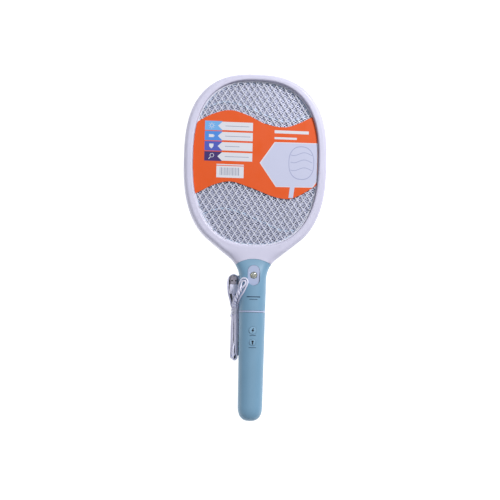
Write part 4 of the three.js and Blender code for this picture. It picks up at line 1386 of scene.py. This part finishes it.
def hank_fold(start, end, layer, fold_y, lift=0.0, steps=8):
    """Down one side of the hank, round a fold and up the other; a lifted strand crosses over the others."""
    points = []
    for y in RUN_YS:
        rise = lift * smooth((LIFT_START_Y - y) / LIFT_RUN)
        points.append(in_hank(column_place(*start, y), y, layer + rise))
    first, last = column_place(*start, fold_y), column_place(*end, fold_y)
    centre, radius = (first + last) / 2, abs(last - first) / 2
    for i in range(steps + 1):
        angle = math.pi * i / steps
        across = centre + (first - centre) * math.cos(angle)
        rise = lift * (1 - smooth(i / LIFT_FALL_STEPS))
        points.append(in_hank(across, fold_y - radius * math.sin(angle), layer + rise))
    return points + [in_hank(column_place(*end, y), y, layer) for y in reversed(RUN_YS)]


LEFT_OUTER, LEFT_INNER = (-1, OUTER_COLUMN), (-1, INNER_COLUMN)
RIGHT_OUTER, RIGHT_INNER = (1, OUTER_COLUMN), (1, INNER_COLUMN)
CORD_ROUTE = (
    PLUG_END
    + hank_fold(LEFT_OUTER, RIGHT_OUTER, -LAYER, -165.5)
    + RIGHT_LOOP
    + hank_fold(RIGHT_OUTER, LEFT_INNER, LAYER, -159.5)
    + twisted_loop()
    + hank_fold(RIGHT_INNER, LEFT_OUTER, LAYER, -165.0, lift=2.75)
    + LEFT_LOOP
)


CORD_NODES = [
    "charging_cord_hank", "charging_cord_plug_end", "charging_cord_left_loop", "charging_cord_right_loop",
]


def make_cord():
    made = tube("charging_cord", [smooth_path(CORD_ROUTE, 6)], CORD_DIAMETER / 2, 5, CORD)
    return place(made, "racket", "cord_jacket", *CORD_NODES)


END_TAPER = ((0.0, 1.0), (0.03, 0.3), (0.08, 0.0), (0.92, 0.0), (0.97, 0.3), (1.0, 1.0))


def rounded_box(x, y, z, width, length, height, bevel, sides=48, power=0.45):
    """A box with rounded long edges, its axis along Y and softened ends."""
    rings = []
    for share, taken in END_TAPER:
        ring = []
        for i in range(sides):
            angle = 2 * math.pi * (i + 0.5) / sides
            px = (width / 2 - bevel * taken) * float(signed_power(math.cos(angle), power))
            pz = (height / 2 - bevel * taken) * float(signed_power(math.sin(angle), power))
            ring.append((x + px, y + length * (share - 0.5), z + pz))
        rings.append(ring)
    return loft(rings)


def ribbed_relief(x, z, start_y, end_y, start_radius, end_radius, ribs, groove=0.28):
    """A tapered strain relief with grooves round it."""
    profile = []
    steps = ribs * 6
    for i in range(steps + 1):
        share = i / steps
        radius = start_radius + (end_radius - start_radius) * share
        radius -= groove * (0.5 - 0.5 * math.cos(2 * math.pi * ribs * share))
        profile.append((radius, start_y + (end_y - start_y) * share))
    return turned_along_y(profile, x, z, 28)


USB_X = -27.4
USB_Z = 4.2
SHELL_Z = 4.0
BARREL_X = -17.6
BARREL_Z = 3.7


def usb_box(x, half_width, ys, zs):
    return box_solid((x - half_width, ys[0], zs[0]), (x + half_width, ys[1], zs[1]))


def make_usb_plug():
    """USB-A plug: a grip with a ribbed relief, a hollow shell with two latch windows, and its tongue."""
    grip = rounded_box(USB_X, -64.8, USB_Z, 12.6, 14.0, 7.6, 0.8)
    relief = ribbed_relief(USB_X, USB_Z, -71.4, -78.2, 2.7, 1.75, 4)
    body = piece("usb_plug_body", *merged(grip, relief), CORD)
    place(body, "racket", "cord_jacket", "usb_plug_grip")
    shell = piece("usb_plug_metal", *rounded_box(USB_X, -51.6, SHELL_Z, 12.0, 11.8, 4.5, 0.12), NICKEL)
    cut(shell, *usb_box(USB_X, 5.6, (-56.5, -45.0), (2.15, 5.85)))
    for side in (-1, 1):
        cut(shell, *usb_box(USB_X + 2.8 * side, 1.1, (-53.4, -51.2), (5.0, 7.0)))
    tidy_normals(shell)
    place(shell, "racket", "steel", "usb_plug_shell")
    tongue = piece("usb_plug_tongue", *usb_box(USB_X, 5.3, (-56.3, -46.6), (2.3, 4.0)), DARK)
    place(tongue, "racket", "dark_plastic")
    return [body, shell, tongue]


BARREL_GRIP = [
    (1.5, -112.1), (2.0, -112.6), (2.2, -115.0), (2.0, -115.6), (2.4, -116.2), (2.3, -117.4), (2.9, -118.2),
    (3.2, -120.0), (3.3, -126.0), (3.1, -131.0), (2.9, -133.4), (2.5, -134.0),
]
BARREL = [
    (1.7, -134.3), (1.7, -139.0), (1.6, -139.2), (1.6, -139.5), (1.7, -139.7), (1.7, -142.9), (1.5, -143.3),
]


def make_barrel_plug():
    body = piece("barrel_plug_body", *turned_along_y(BARREL_GRIP, BARREL_X, BARREL_Z, 32), CORD)
    place(body, "racket", "cord_jacket", "charging_plug_grip")
    barrel = piece("barrel_plug_metal", *turned_along_y(BARREL, BARREL_X, BARREL_Z, 32), STEEL)
    place(barrel, "racket", "steel", "charging_plug_barrel")
    return [body, barrel]


TIE_TURNS = 4
TIE_RADIUS = 0.65
TIE_TOP_Y = -94.6
TIE_RUN = 8.4


def tie_end(start_angle, deep):
    """One of the tie's two ends, twisted round the other."""
    points = []
    for i in range(13):
        share = i / 12
        angle = start_angle + 2.5 * math.pi * share
        across = -1.0 + 0.55 * math.cos(angle) - 3.0 * share
        points.append(in_hank(across, -98.0 - 8.5 * share, deep + 0.9 + 0.45 * math.sin(angle)))
    return points


def make_tie():
    """A tie wound round the waist of the hank, with its ends twisted together."""
    wide, deep = 10.6 / 2 + TIE_RADIUS, 5.9 / 2 + TIE_RADIUS
    steps = 44 * TIE_TURNS
    winding = []
    for i in range(steps + 1):
        angle = 2 * math.pi * TIE_TURNS * i / steps
        across = wide * float(signed_power(math.cos(angle), 0.7))
        above = deep * float(signed_power(math.sin(angle), 0.7))
        winding.append(in_hank(across, TIE_TOP_Y - TIE_RUN * i / steps, above))
    lines = [winding, tie_end(0.0, deep), tie_end(math.pi, deep)]
    made = tube("twist_tie", lines, TIE_RADIUS, 3, GUARD_WHITE)
    return place(made, "racket", "white_plastic", "cord_twist_tie")


cord = make_cord()
cord_pieces = make_usb_plug() + make_barrel_plug() + [make_tie()]


# ---------- CAD nodes that keep their shape ----------
KEPT = {
    "coupling_sleeve": DARK,
    "lamp_board": LAMP_LAMINATE,
    "zap_switch": DARK,
    "light_switch": DARK,
    "circuit_board": BOARD,
    "step_up_transformer": COPPER,
    "storage_capacitor": CAPACITOR,
    "battery_cell": CELL,
    "battery_contact_positive": STEEL,
    "battery_contact_negative": STEEL,
    "mesh_lead_positive": LEAD_RED,
    "mesh_lead_negative": DARK,
}
for node_name, look in KEPT.items():
    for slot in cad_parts[node_name].material_slots:
        slot.material = look


# ---------- floor and light ----------
FLOOR_HALF = 15000.0
FLOOR_Z = -0.05
SHADE_LIFT = 0.02


def floor_material(name, level, glow):
    s = Shader(name)
    s.tint(s.noise(3.0, 2.0), (level,) * 3 + (1.0,), (level * 1.04,) * 3 + (1.0,))
    s.set("Roughness", 0.9)
    s.set("Emission Color", (1.0, 1.0, 1.0, 1.0))
    s.set("Emission Strength", glow)
    return s.material


HANK_SHADE = [
    (-15, -44), (-27.6, -44.5), (-33, -47.5), (-35, -54), (-35, -61), (-32.6, -75), (-30.6, -85),
    (-29.2, -95),
    (-28.2, -110), (-28.2, -160), (-26.4, -169), (-23, -170), (-19, -165), (-15, -163),
]


def floor_sheet(name, outline, z, material):
    verts = [(x, y, z) for x, y in outline]
    piece(name, verts, [tuple(range(len(verts)))], material)


def make_floor():
    """White sweep that glows a little, with plain grey sheets where the real floor is in shade."""
    sweep = rectangle(-FLOOR_HALF, -FLOOR_HALF, 2 * FLOOR_HALF, 2 * FLOOR_HALF)
    floor_sheet("floor", sweep, FLOOR_Z, floor_material("floor", 0.4, 0.95))
    shaded = floor_material("floor_shade", 0.08, 0.0)
    floor_sheet("floor_shade", resample(OPENING, 120), FLOOR_Z + SHADE_LIFT, shaded)
    floor_sheet("floor_shade_hank", HANK_SHADE, FLOOR_Z + SHADE_LIFT, shaded)


def area_light(name, place_m, size_m, watts, color=(1.0, 1.0, 1.0)):
    data = bpy.data.lights.new(name, "AREA")
    data.shape = "DISK"
    data.size = size_m
    data.energy = watts
    data.color = color
    light = bpy.data.objects.new(name, data)
    bpy.context.collection.objects.link(light)
    light.location = place_m
    light.rotation_euler = (Vector(place_m) - Vector((0.0, 0.05, 0.0))).to_track_quat("Z", "Y").to_euler()


def make_studio_walls():
    """Dim bluish room light, with white walls behind the object."""
    world = bpy.data.worlds.new("studio")
    world.use_nodes = True
    tree = world.node_tree
    room = tree.nodes["Background"]
    room.inputs["Color"].default_value = (0.93, 0.95, 1.0, 1.0)
    room.inputs["Strength"].default_value = 0.24
    walls = tree.nodes.new("ShaderNodeBackground")
    walls.inputs["Color"].default_value = (1.0, 1.0, 1.0, 1.0)
    choice = tree.nodes.new("ShaderNodeMixShader")
    tree.links.new(tree.nodes.new("ShaderNodeLightPath").outputs["Is Camera Ray"], choice.inputs["Fac"])
    tree.links.new(room.outputs["Background"], choice.inputs[1])
    tree.links.new(walls.outputs["Background"], choice.inputs[2])
    tree.links.new(choice.outputs["Shader"], tree.nodes["World Output"].inputs["Surface"])
    bpy.context.scene.world = world


def make_light():
    area_light("key", (0.95, 1.1, 1.75), 0.45, 38.0, (1.0, 0.99, 0.98))
    area_light("top", (0.2, 0.2, 2.6), 2.4, 10.0)
    area_light("fill", (-1.6, -0.9, 1.2), 1.4, 1.0, (0.9, 0.9, 1.0))
    make_studio_walls()
    bpy.context.scene.view_settings.view_transform = "Standard"


make_floor()
make_light()
